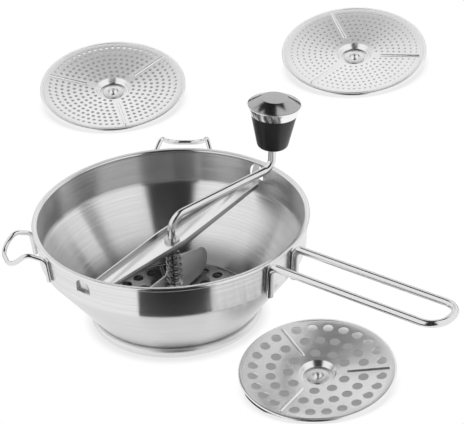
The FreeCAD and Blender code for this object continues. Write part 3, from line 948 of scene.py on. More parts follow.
@dataclass
class Bowl:
    """The spun bowl and the ring that it stands on."""

    height: float = 98.9
    wall: float = 0.9
    rim_radius: float = 120.0
    bead_width: float = 5.0
    bead_height: float = 3.2
    bead_flat: float = 0.02
    bead_steps: int = 8
    overhang: float = 1.3
    band_height: float = 31.0
    band_taper: float = 3.4
    shoulder_bend: float = 10.0
    seat_inner: float = 61.5
    seat_corner: float = 69.686
    seat_top: float = 10.4
    seat_bend: float = 3.0
    foot_height: float = 9.5
    foot_step: float = 4.4
    foot_taper: float = 1.5
    foot_top_width: float = 9.0
    foot_stand: float = 10.0
    foot_bend: float = 2.0
    heel_bend: float = 5.5
    pocket_azimuth: float = 87.6
    pocket_width: float = 14.7
    pocket_sill: float = 81.0
    pocket_top: float = 94.5
    arch_steps: int = 16
    cutter_inner: float = 110.0
    cutter_outer: float = 124.0
    lug_width: float = 10.3
    lug_top_width: float = 5.5
    lug_root: float = 0.9
    lug_bottom: float = 78.5
    lug_depth: float = 3.2
    lug_rows: int = 12
    segments: int = 256
    foot_segments: int = 192
    sharp: float = 32.0

    def band_radius(self, height: float) -> float:
        """Radius of the band's middle line at a height."""
        top, shoulder = self.middle_line()[:2]
        return shoulder[0] + (height - shoulder[1]) * (top[0] - shoulder[0]) / (top[1] - shoulder[1])

    def middle_line(self) -> list[Point]:
        """Corners of the sheet's middle line, from the rim to the seat's inner edge.

        Returns:
            Radius and height of each corner.
        """
        top = (self.rim_radius - self.overhang - self.wall / 2, self.height - self.bead_height / 2)
        shoulder = (top[0] - self.band_taper, self.height - self.band_height)
        seat = self.seat_top - self.wall / 2
        return [top, shoulder, (self.seat_corner, seat), (self.seat_inner, seat)]

    def pockets(self) -> Point:
        """Directions of the two pockets that hold the bridge."""
        return self.pocket_azimuth, self.pocket_azimuth + 180

    def build(self) -> None:
        """Make, dress and hang the bowl and its foot."""
        show(self._shell(), Body.BOWL, "bowl_shell")
        show(self._foot(), Body.BOWL, "foot_ring")

    def _shell(self) -> bpy.types.Object:
        """The bowl with its rolled rim, two arched windows and their lanced lugs.

        Returns:
            The dressed bowl.
        """
        shape = bmesh.new()
        bends = {1: self.shoulder_bend, 2: self.seat_bend}
        lathe(shape, sheet_outline(self.middle_line(), bends, self.wall), self.segments)
        bowl = to_object(shape, "spun_bowl")
        for azimuth in self.pockets():
            cut(bowl, self._window(azimuth))
        whole = bmesh.new()
        whole.from_mesh(bowl.data)
        bpy.data.objects.remove(bowl)
        lathe(whole, self._bead(), self.segments)
        for azimuth in self.pockets():
            self._lug(whole, azimuth)
        return dress(to_object(whole, "spun_bowl", self.sharp), BOWL_STEEL.build())

    def _bead(self) -> list[Point]:
        """Outline of the rolled rim.

        Returns:
            Radius and height of each point.
        """
        low, high = self.height - self.bead_height, self.height
        inner, outer = self.rim_radius - self.bead_width, self.rim_radius
        corners = [(inner, low), (outer, low), (outer, high), (inner, high)]
        roll = (self.bead_height - self.bead_flat) / 2
        return rounded(corners, dict.fromkeys(range(4), roll), self.bead_steps)

    def _window(self, azimuth: float) -> bmesh.types.BMesh:
        """The cutter for one arched window.

        Args:
            azimuth: the window's direction.

        Returns:
            The cutter, in its place.
        """
        half = self.pocket_width / 2
        arch = self.pocket_top - half
        outline = [(-half, self.pocket_sill), (half, self.pocket_sill)]
        for step in range(self.arch_steps + 1):
            angle = math.pi * step / self.arch_steps
            outline.append((half * math.cos(angle), arch + half * math.sin(angle)))
        shape = bmesh.new()
        reaches = (self.cutter_inner, self.cutter_outer)
        loft(shape, [[(reach, *point) for point in outline] for reach in reaches], turn_z(azimuth))
        return shape

    def _lug(self, shape: bmesh.types.BMesh, azimuth: float) -> None:
        """Add the tab that slants in from a window's top and holds the bridge down.

        Args:
            shape: the bowl's mesh.
            azimuth: the window's direction.
        """
        top, bottom = self.pocket_top + self.lug_root, self.lug_bottom
        root = self.band_radius(top)
        nose = self.band_radius(bottom) - self.lug_depth
        across = self.wall * math.hypot(root - nose, top - bottom) / (top - bottom)
        rows = []
        for row in range(self.lug_rows + 1):
            share = row / self.lug_rows
            outer = root + (nose - root) * share
            inner = outer - across
            half = (self.lug_top_width + (self.lug_width - self.lug_top_width) * share) / 2
            level = top + (bottom - top) * share
            corners = [(outer, -half), (outer, half), (inner, half), (inner, -half)]
            rows.append([(*corner, level) for corner in corners])
        loft(shape, rows, turn_z(azimuth))

    def _foot(self) -> bpy.types.Object:
        """The ring that the bowl stands on.

        Returns:
            The dressed ring.
        """
        outer = self.seat_corner + self.foot_step
        lower = outer - self.foot_taper
        top, bottom = self.foot_height - self.wall / 2, self.wall / 2
        line = [
            (outer - self.foot_top_width, top),
            (outer, top),
            (lower, bottom),
            (lower - self.foot_stand, bottom),
        ]
        outline = sheet_outline(line, {1: self.foot_bend, 2: self.heel_bend}, self.wall)
        return turned("standing_ring", outline, self.foot_segments, FOOT_STEEL.build())


@dataclass
class WireWork:
    """The long handle and the two pan hooks, each one bent wire."""

    bowl: Bowl
    recipe: Recipe
    weld_gap: float = 0.1
    handle_wire: float = 3.4
    handle_spacing: float = 35.2
    handle_end_spacing: float = 37.2
    handle_drop: float = 2.3
    handle_fall: float = 4.1
    handle_leg: float = 30.3
    handle_length: float = 177.0
    handle_bend: float = 7.5
    handle_corner: float = 16.5
    hook_wire: float = 2.1
    hook_spacing: float = 49.0
    hook_nose_spacing: float = 31.0
    hook_drop: float = 4.7
    hook_leg: float = 21.0
    hook_shelf: float = 15.2
    hook_rise: float = 6.4
    hook_run: float = 13.7
    hook_fall: float = 12.3
    hook_bend: float = 7.5
    hook_crest_bend: float = 8.5
    hook_corner: float = 15.2
    rear_azimuth: float = 122.3
    left_azimuth: float = 232.6

    def build(self) -> None:
        """Make, dress and hang the handle and the hooks."""
        steel = WIRE_STEEL.build()
        handle = bent_wire(self.recipe, "handle_wire", self._handle(), self.handle_wire, steel, 0.0)
        show(handle, Body.BOWL, "long_handle")
        for name, azimuth in (("rear_hook", self.rear_azimuth), ("left_hook", self.left_azimuth)):
            hook = bent_wire(self.recipe, name + "_wire", self._hook(), self.hook_wire, steel, azimuth)
            show(hook, Body.BOWL, name)

    def leg_reach(self, height: float, spacing: float, wire: float) -> float:
        """How far out a leg's middle lies where it is welded to the band.

        Args:
            height: height on the band.
            spacing: from the one leg's middle to the other's.
            wire: the wire's radius.

        Returns:
            Its distance from the bowl's axis, along the middle between the legs.
        """
        lean = math.atan2(self.bowl.band_taper, self.bowl.band_height - self.bowl.bead_height / 2)
        stand = self.bowl.wall / 2 + wire + self.weld_gap
        radius = self.bowl.band_radius(height) + stand / math.cos(lean)
        return math.sqrt(radius**2 - (spacing / 2) ** 2)

    def _handle(self) -> list[Bend]:
        """Corners of the handle's middle line and the bend at each.

        Returns:
            The corners, from one leg's foot to the other's.
        """
        level = self.bowl.height - self.handle_drop
        low = level - self.handle_leg
        half = self.handle_spacing / 2
        end = self.bowl.rim_radius + self.handle_length - self.handle_wire
        foot = self.leg_reach(low, self.handle_spacing, self.handle_wire)
        knee = self.leg_reach(level, self.handle_spacing, self.handle_wire)
        side = [
            (foot, -half, low, 0.0),
            (knee, -half, level, self.handle_bend),
            (end, -self.handle_end_spacing / 2, level - self.handle_fall, self.handle_corner),
        ]
        return both_sides(side)

    def _hook(self) -> list[Bend]:
        """Corners of a hook's middle line and the bend at each.

        Returns:
            The corners, from one leg's foot to the other's.
        """
        level = self.bowl.height - self.hook_drop
        low = level - self.hook_leg
        top = level + self.hook_rise
        half, nose_half = self.hook_spacing / 2, self.hook_nose_spacing / 2
        crest = self.bowl.band_radius(level) + self.hook_shelf
        side = [
            (self.leg_reach(low, self.hook_spacing, self.hook_wire), -half, low, 0.0),
            (self.leg_reach(level, self.hook_spacing, self.hook_wire), -half, level, self.hook_bend),
            (crest, -(half + nose_half) / 2, top, self.hook_crest_bend),
            (crest + self.hook_run, -nose_half, top - self.hook_fall, self.hook_corner),
        ]
        return both_sides(side)


@dataclass(frozen=True)
class Piercing:
    """The rings of holes in a sieve."""

    hole: float
    hole_steps: int
    pitch: float
    rings: int
    inner_margin: float
    outer_margin: float


COARSE_HOLES = Piercing(hole=4.5, hole_steps=28, pitch=13.7, rings=3, inner_margin=8.8, outer_margin=7.4)
MEDIUM_HOLES = Piercing(hole=1.5, hole_steps=14, pitch=5.55, rings=8, inner_margin=2.8, outer_margin=4.6)
FINE_HOLES = Piercing(hole=1.0, hole_steps=12, pitch=5.1, rings=8, inner_margin=4.5, outer_margin=4.9)


@dataclass
class Sieve:
    """One pierced disc with the cup in its middle.

    Its spot is the distance and direction of its border's middle from the bowl's axis, or none for the sieve
    in the bowl, and its turn is that of its first rib.
    """

    name: str
    body: Body
    node: str
    piercing: Piercing
    spot: Point | None
    turn: float
    finish: Metal = SIEVE_STEEL
    tip_azimuth: float = -50.5
    radius: float = 67.5
    sheet: float = 0.8
    lip: float = 3.0
    lip_bend: float = 1.6
    border: float = 4.7
    line_in: float = 3.0
    line_half: float = 0.45
    line_floor_half: float = 0.25
    line_depth: float = 0.35
    slope: float = 4.6
    recess: float = 16.2
    recess_floor: float = 13.5
    recess_depth: float = 4.85
    recess_bend: float = 1.4
    rib_width: float = 3.2
    rib_height: float = 1.2
    rib_start: float = 7.8
    rib_steps: int = 8
    rib_segments: int = 24
    land: float = 6.0
    ribs: int = 3
    cup: float = 5.4
    cup_wall: float = 0.8
    cup_play: float = 0.1
    cup_rise: float = 1.0
    cup_steps: int = 10
    cup_segments: int = 64
    flange: float = 9.3
    flange_height: float = 1.0
    flange_edge: float = 0.3
    flange_top_edge: float = 0.45
    edge_steps: int = 144
    sharp: float = 40.0

    def build(self, recipe: Recipe) -> None:
        """Make, dress and hang the disc and its cup.

        Args:
            recipe: the tree of the pierced dish.
        """
        place = self.place()
        steel = self.finish.build(place)
        disc = self._pierced(recipe, steel)
        shape = bmesh.new()
        shape.from_mesh(disc.data)
        self._rim_and_recess(shape)
        bmesh.ops.remove_doubles(shape, verts=shape.verts, dist=SEAM * MM)
        bmesh.ops.recalc_face_normals(shape, faces=shape.faces)
        if sum(face.normal.z * face.calc_area() for face in shape.faces) < 0:
            bmesh.ops.reverse_faces(shape, faces=shape.faces)
        shape.to_mesh(disc.data)
        shape.free()
        wall = disc.modifiers.new("sheet", "SOLIDIFY")
        wall.thickness = self.sheet * MM
        wall.offset = -1.0
        wall.use_even_offset = True
        settle(disc, self.sharp)
        self._add_ribs(disc)
        disc.data.transform(place)
        show(dress(disc, steel), self.body, self.node)
        polish = CUP_STEEL.build(place)
        cup = turned(self.name + "_cup", self._cup_outline(), self.cup_segments, polish, place)
        show(cup, self.body, self.node + "_hub")

    def place(self) -> Matrix:
        """Where the sieve lies: level on the bowl's seat, or tipped until cup and lip touch the table.

        Returns:
            Its place, from a level sieve with its border's top at the origin.
        """
        if self.spot is None:
            return Matrix.Translation(Vector((0, 0, Bowl.seat_top + self.lip)) * MM) @ turn_z(self.turn)
        overhang = self.depths()[1] - self.flange_height - self.cup_rise - self.lip
        ball = self.cup + self.cup_wall
        tip = math.asin(ball / math.hypot(self.radius, overhang)) + math.atan2(overhang, self.radius)
        height = self.radius * math.sin(tip) + self.lip * math.cos(tip)
        aim = math.radians(self.tip_azimuth)
        axis = Vector((-math.sin(aim), math.cos(aim), 0))
        distance, way = self.spot[0], math.radians(self.spot[1])
        middle = Vector((distance * math.cos(way), distance * math.sin(way), height)) * MM
        return Matrix.Translation(middle) @ Matrix.Rotation(tip, 4, axis) @ turn_z(self.turn)

    def depths(self) -> Point:
        """How far the dish's inner edge and the recess floor lie below the border."""
        inner = (self.radius - self.border - self.recess) * math.tan(math.radians(self.slope))
        return inner, inner + self.recess_depth

    def _pierced(self, recipe: Recipe, steel: bpy.types.Material) -> bpy.types.Object:
        """The sloping part with its holes.

        Args:
            recipe: the tree of the pierced dish.
            steel: its finish.

        Returns:
            The dish as a mesh object, level at the origin.
        """
        outer = self.radius - self.border
        dish = link(self.name, bpy.data.meshes.new(self.name))
        values = {
            "Hole Radius": self.piercing.hole * MM,
            "Hole Steps": self.piercing.hole_steps,
            "Rings": self.piercing.rings,
            "First Ring": (self.recess + self.piercing.inner_margin) * MM,
            "Last Ring": (outer - self.piercing.outer_margin) * MM,
            "Pitch": self.piercing.pitch * MM,
            "Land": self.land * MM,
            "Ribs": self.ribs,
            "Dish Outer": outer * MM,
            "Dish Inner": self.recess * MM,
            "Rise": math.tan(math.radians(self.slope)),
            "Edge Steps": self.edge_steps,
            "Finish": steel,
        }
        recipe.make(dish, values)
        return dish

    def _rim_and_recess(self, shape: bmesh.types.BMesh) -> None:
        """Add the flat border with its turned-down lip, and the sunk middle.

        Args:
            shape: the disc's mesh.
        """
        inner, floor = self.depths()
        line = self.radius - self.line_in
        edge = [
            (self.radius - self.border, 0.0),
            (line - self.line_half, 0.0),
            (line - self.line_floor_half, -self.line_depth),
            (line + self.line_floor_half, -self.line_depth),
            (line + self.line_half, 0.0),
            (self.radius, 0.0),
            (self.radius, -self.lip),
        ]
        lathe(shape, rounded(edge, {5: self.lip_bend}), self.edge_steps, closed=False)
        middle = [
            (self.cup + self.cup_wall + self.cup_play, -floor),
            (self.recess_floor, -floor),
            (self.recess, -inner),
        ]
        lathe(shape, rounded(middle, {1: self.recess_bend}, steps=4), self.edge_steps, closed=False)

    def _add_ribs(self, disc: bpy.types.Object) -> None:
        """Add the pressed ribs on the dish.

        Args:
            disc: the disc, level at the origin.
        """
        shape = bmesh.new()
        shape.from_mesh(disc.data)
        half = self.rib_width / 2
        ball = (half**2 + self.rib_height**2) / (2 * self.rib_height)
        inner = self.recess + self.rib_start
        outer = self.radius - self.border
        slant = math.radians(self.slope)
        length = (outer - inner) / math.cos(slant) - 2 * half
        profile = round_bottom(ball, 0.0, math.pi / 2, self.rib_steps)
        profile += [(out, length - along) for out, along in reversed(profile)]
        drop = (outer - inner) * math.tan(slant)
        sink = Matrix.Translation(Vector((half, 0, self.rib_height - ball)) * MM)
        lay = sink @ Matrix.Rotation(math.pi / 2, 4, "Y")
        tilt = Matrix.Translation(Vector((inner, 0, -drop)) * MM) @ Matrix.Rotation(-slant, 4, "Y")
        level = Vector((0, 0, -self.sheet * MM / 2))
        for rib in range(self.ribs):
            bar = bmesh.new()
            lathe(bar, profile, self.rib_segments)
            bar.transform(lay)
            geometry = bar.verts[:] + bar.edges[:] + bar.faces[:]
            bmesh.ops.bisect_plane(bar, geom=geometry, plane_co=level, plane_no=(0, 0, 1), clear_inner=True)
            bmesh.ops.holes_fill(bar, edges=[edge for edge in bar.edges if edge.is_boundary])
            bar.transform(turn_z(rib * 360 / self.ribs) @ tilt)
            mesh = bpy.data.meshes.new("rib")
            bar.to_mesh(mesh)
            bar.free()
            shape.from_mesh(mesh)
            bpy.data.meshes.remove(mesh)
        shape.to_mesh(disc.data)
        shape.free()
        shade(disc.data, self.sharp)

    def _cup_outline(self) -> list[Point]:
        """Closed outline of the flanged cup.

        Returns:
            Radius and height of each point.
        """
        _, floor = self.depths()
        top = floor - self.flange_height
        centre = top - self.cup_rise
        outer = self.cup + self.cup_wall
        below = round_bottom(outer, -centre, math.acos((floor - centre) / outer), self.cup_steps)
        above = round_bottom(self.cup, -centre, math.acos((top - centre) / self.cup), self.cup_steps)
        flange = [(outer, -floor), (self.flange, -floor), (self.flange, -top), (self.cup, -top)]
        edges = {1: self.flange_edge, 2: self.flange_top_edge}
        return below + rounded(flange, edges, steps=4)[1:-1] + above[::-1]


@dataclass(frozen=True)
class Washer:
    """A flat washer on the shaft, its outer edges softened."""

    bore: float = 3.58
    radius: float = 7.0
    height: float = 1.2
    edge: float = 0.3
    segments: int = 64

    def build(self, name: str, top: float, material: bpy.types.Material) -> bpy.types.Object:
        """Make the washer.

        Args:
            name: name of the new object.
            top: height of its upper face.
            material: its finish.

        Returns:
            The dressed washer.
        """
        bottom = top - self.height
        outline = [(self.bore, bottom), (self.radius, bottom), (self.radius, top), (self.bore, top)]
        edges = {1: self.edge, 2: self.edge}
        return turned(name, rounded(outline, edges, steps=3), self.segments, material)


@dataclass
class Bridge:
    """The channel across the bowl, with the bushing and washer that it carries."""

    edge: float = 0.35
    edge_steps: int = 3
    bore: float = 3.58
    floor: float = 74.5
    neck_wall: float = 2.0
    collar: float = 6.6
    collar_floor: float = 75.85
    collar_height: float = 1.8
    collar_edge: float = 0.6
    bore_edge: float = 0.3
    segments: int = 64

    def build(self) -> None:
        """Make, dress and hang the bridge's pieces."""
        channel = clean_copy("bridge", "bridge_channel")
        soften(channel, self.edge, self.edge_steps)
        show(dress(channel, BRIDGE_STEEL.build()), Body.BRIDGE, "bridge")
        steel = TURNED_STEEL.build()
        neck = self.bore + self.neck_wall
        top = self.collar_floor + self.collar_height
        outline = [
            (self.bore, self.floor),
            (neck, self.floor),
            (neck, self.collar_floor),
            (self.collar, self.collar_floor),
            (self.collar, top),
            (self.bore, top),
        ]
        outline = rounded(outline, {4: self.collar_edge, 5: self.bore_edge}, steps=4)
        bushing = turned("shaft_bushing", outline, self.segments, steel)
        show(bushing, Body.BRIDGE, "bridge_bushing")
        washer = Washer().build("upper_washer", self.floor, steel)
        show(washer, Body.BRIDGE, "spring_top_washer")


@dataclass
class Carriage:
    """The spring and the washer that it stands on."""

    bottom: float = 32.8
    top: float = Bridge.floor - Washer.height
    mean: float = 6.0
    wire: float = 0.9
    turns: float = 6.5
    turn_steps: int = 40
    sides: int = 14
    margin: float = 1.38
    travel: float = 6.0

    def build(self, recipe: Recipe) -> None:
        """Make, dress and hang the spring and its seat.

        Args:
            recipe: the coil's tree.
        """
        steel = SPRING_STEEL.build()
        spring = link("coil_spring", bpy.data.meshes.new("coil_spring"))
        values = {
            "Turns": self.turns,
            "Turn Steps": self.turn_steps,
            "Mean Radius": self.mean * MM,
            "Height": (self.top - self.bottom - 2 * self.margin) * MM,
            "Sides": self.sides,
            "Wire Radius": self.wire * MM,
            "Foot": (self.bottom + self.margin) * MM,
            "Finish": steel,
        }
        recipe.make(spring, values)
        show(spring, Body.LIFT, "pressure_spring")
        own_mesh(spring)
        seat = Washer().build("lower_washer", self.bottom, TURNED_STEEL.build())
        show(seat, Body.LIFT, "spring_seat_washer")


@dataclass
class Crank:
    """The bent rod with its blade and hub."""

    recipe: Recipe
    azimuth: float = 68.5
    rod: float = 3.5
    foot: float = 6.1
    base: float = 97.8
    rise: float = 14.2
    radius: float = 103.2
    first_bend: float = 15.0
    elbow_bend: float = 11.5
    lean: float = 6.0
    pin_length: float = 49.5
    blade_edge: float = 0.3
    blade_edge_steps: int = 2
    hub: float = 7.3
    hub_top: float = 31.5
    hub_foot_edge: float = 0.5
    hub_top_edge: float = 0.7
    hub_segments: int = 64
    ball: float = 5.3
    ball_centre: float = 6.8
    ball_steps: int = 12
    ball_segments: int = 48

    def build(self) -> None:
        """Make, dress and hang the crank's pieces."""
        steel = WIRE_STEEL.build()
        rod = bent_wire(self.recipe, "bent_rod", self._rod(), self.rod, steel, self.azimuth)
        show(rod, Body.CRANK, "crank_rod")
        blade = clean_copy("scraper_blade", "blade_plate")
        soften(blade, self.blade_edge, self.blade_edge_steps)
        show(dress(blade, BLADE_STEEL.build()), Body.CRANK, "scraper_blade")
        plain = TURNED_STEEL.build()
        outline = [
            (self.rod, self.foot),
            (self.hub, self.foot),
            (self.hub, self.hub_top),
            (self.rod, self.hub_top),
        ]
        outline = rounded(outline, {1: self.hub_foot_edge, 2: self.hub_top_edge}, steps=4)
        hub = turned("hub_collar", outline, self.hub_segments, plain)
        show(hub, Body.CRANK, "blade_hub")
        sweep = math.acos((self.ball_centre - self.foot) / self.ball)
        outline = [*round_bottom(self.ball, self.ball_centre, sweep, self.ball_steps), (0.0, self.foot)]
        ball = turned("ball_end", outline, self.ball_segments, plain)
        show(ball, Body.CRANK, "shaft_pilot")

    def _rod(self) -> list[Bend]:
        """Corners of the rod's middle line and the bend at each: shaft, arm and leaning pin.

        Returns:
            The corners, from the shaft's foot to the pin's end.
        """
        slant = math.radians(self.lean)
        elbow = self.base + self.rise
        pin_out = self.radius + self.pin_length * math.sin(slant)
        pin_top = elbow + self.pin_length * math.cos(slant)
        return [
            (0.0, 0.0, self.foot, 0.0),
            (0.0, 0.0, self.base, self.first_bend),
            (self.radius, 0.0, elbow, self.elbow_bend),
            (pin_out, 0.0, pin_top, 0.0),
        ]


@dataclass
class Knob:
    """The grip with its chrome band and top."""

    crank: Crank
    standoff: float = 20.5
    grip_height: float = 32.0
    bottom_radius: float = 13.0
    top_radius: float = 20.1
    bottom_bend: float = 4.5
    shoulder_edge: float = 0.3
    wall: float = 1.2
    band_height: float = 8.8
    band_bottom: float = 20.3
    band_top: float = 23.9
    band_bottom_edge: float = 0.25
    band_top_edge: float = 0.35
    crown_height: float = 6.3
    crown_flat: float = 11.8
    crown_bend: float = 0.8
    crown_edge: float = 0.3
    crown_inner: float = 17.9
    bore: float = 5.28
    segments: int = 96
    sharp: float = 25.0

    def place(self) -> Matrix:
        """From the bowl's axis, with heights counted from the elbow, to the leaning pin.

        Returns:
            The knob's place.
        """
        elbow = self.crank.base + self.crank.rise
        move = Matrix.Translation(Vector((self.crank.radius, 0, elbow)) * MM)
        return turn_z(self.crank.azimuth) @ move @ Matrix.Rotation(math.radians(self.crank.lean), 4, "Y")

    def build(self) -> None:
        """Make, dress and hang the knob's pieces."""
        bottom = self.standoff
        shoulder = bottom + self.grip_height
        brim = shoulder + self.band_height
        top = brim + self.crown_height
        grip = [
            (self.bore, bottom),
            (self.bottom_radius, bottom),
            (self.top_radius, shoulder),
            (self.bore, shoulder),
        ]
        grip = rounded(grip, {1: self.bottom_bend, 2: self.shoulder_edge}, steps=10)
        self._piece("tapered_grip", grip, GRIP_BLACK, "knob_grip")
        band = [
            (self.band_bottom - self.wall, shoulder),
            (self.band_bottom, shoulder),
            (self.band_top, brim),
            (self.band_top - self.wall, brim),
        ]
        band = rounded(band, {1: self.band_bottom_edge, 2: self.band_top_edge}, steps=4)
        self._piece("flared_band", band, BAND_CHROME, "knob_ferrule")
        crown = [
            (0.0, top),
            (self.crown_flat, top),
            (self.band_top, brim),
            (self.crown_inner, brim),
            (self.crown_inner, brim + self.wall),
            (self.crown_flat, top - self.wall),
            (0.0, top - self.wall),
        ]
        crown = rounded(crown, {1: self.crown_bend, 2: self.crown_edge}, steps=4)
        self._piece("bright_crown", crown, CAP_CHROME, "knob_crown")

    def _piece(self, name: str, outline: list[Point], finish: Metal | Moulding, node: str) -> None:
        """Make, dress and hang one turned piece of the knob, in its place on the pin.

        Args:
            name: name of the new object.
            outline: closed outline of radius and height over the elbow.
            finish: its finish.
            node: the CAD node that it stands for.
        """
        piece = turned(name, outline, self.segments, finish.build(), self.place(), self.sharp)
        show(piece, Body.KNOB, node)


# The studio


@dataclass
class Camera:
    """The photograph's view: distance, height over the horizon, roll and framing."""

    distance: float = 5000.0
    azimuth: float = 39.5
    elevation: float = 31.408
    roll: float = -3.969
    focal_pixels: float = 5757.73
    shift_right: float = 54.696
    shift_up: float = 102.996
    sensor: float = 36.0
    nearest: float = 0.1
    farthest: float = 60.0

    def build(self) -> None:
        """Make the camera and look through it."""
        turn, rise, roll = (math.radians(v) for v in (self.azimuth, self.elevation, self.roll))
        flat = math.cos(rise)
        back = Vector((math.sin(turn) * flat, -math.cos(turn) * flat, math.sin(rise)))
        level = Vector((math.cos(turn), math.sin(turn), 0.0))
        steep = back.cross(level)
        right = level * math.cos(roll) + steep * math.sin(roll)
        up = steep * math.cos(roll) - level * math.sin(roll)
        ahead = -back + (right * self.shift_right + up * self.shift_up) / self.focal_pixels
        ahead.normalize()
        side = ahead.cross(up).normalized()
        lift = side.cross(ahead)
        data = bpy.data.cameras.new("camera")
        data.sensor_width = self.sensor
        data.lens = self.focal_pixels * self.sensor / IMAGE_WIDTH
        data.clip_start = self.nearest
        data.clip_end = self.farthest
        camera = bpy.data.objects.new("camera", data)
        axes = Matrix((side, lift, -ahead)).transposed().to_4x4()
        camera.matrix_world = Matrix.Translation(back * self.distance * MM) @ axes
        bpy.context.scene.collection.objects.link(camera)
        bpy.context.scene.camera = camera


COARSE_SPOT: Point = (169.7, -7.6)
MEDIUM_SPOT: Point = (397.0, 136.0)
FINE_SPOT: Point = (466.0, 106.6)


def upright_card(left: float, right: float, away: float, top: float) -> list[Spot]:
    """Corners of a card that stands on the table."""
    return [(left, away, 0.0), (right, away, 0.0), (right, away, top), (left, away, top)]


def level_card(left: float, right: float, near: float, far: float, height: float) -> list[Spot]:
    """Corners of a card that hangs level."""
    return [(left, near, height), (right, near, height), (right, far, height), (left, far, height)]


def seen_directly(work: NodeWork) -> Socket:
    """One for rays from the camera and for mirrored or passed-on rays, nought for the rest.

    Args:
        work: the tree.

    Returns:
        The number.
    """
    path = work.add("ShaderNodeLightPath").outputs
    mirrored = work.sum("MAXIMUM", path["Is Camera Ray"], path["Is Glossy Ray"])
    return work.sum("MAXIMUM", mirrored, path["Is Transmission Ray"])


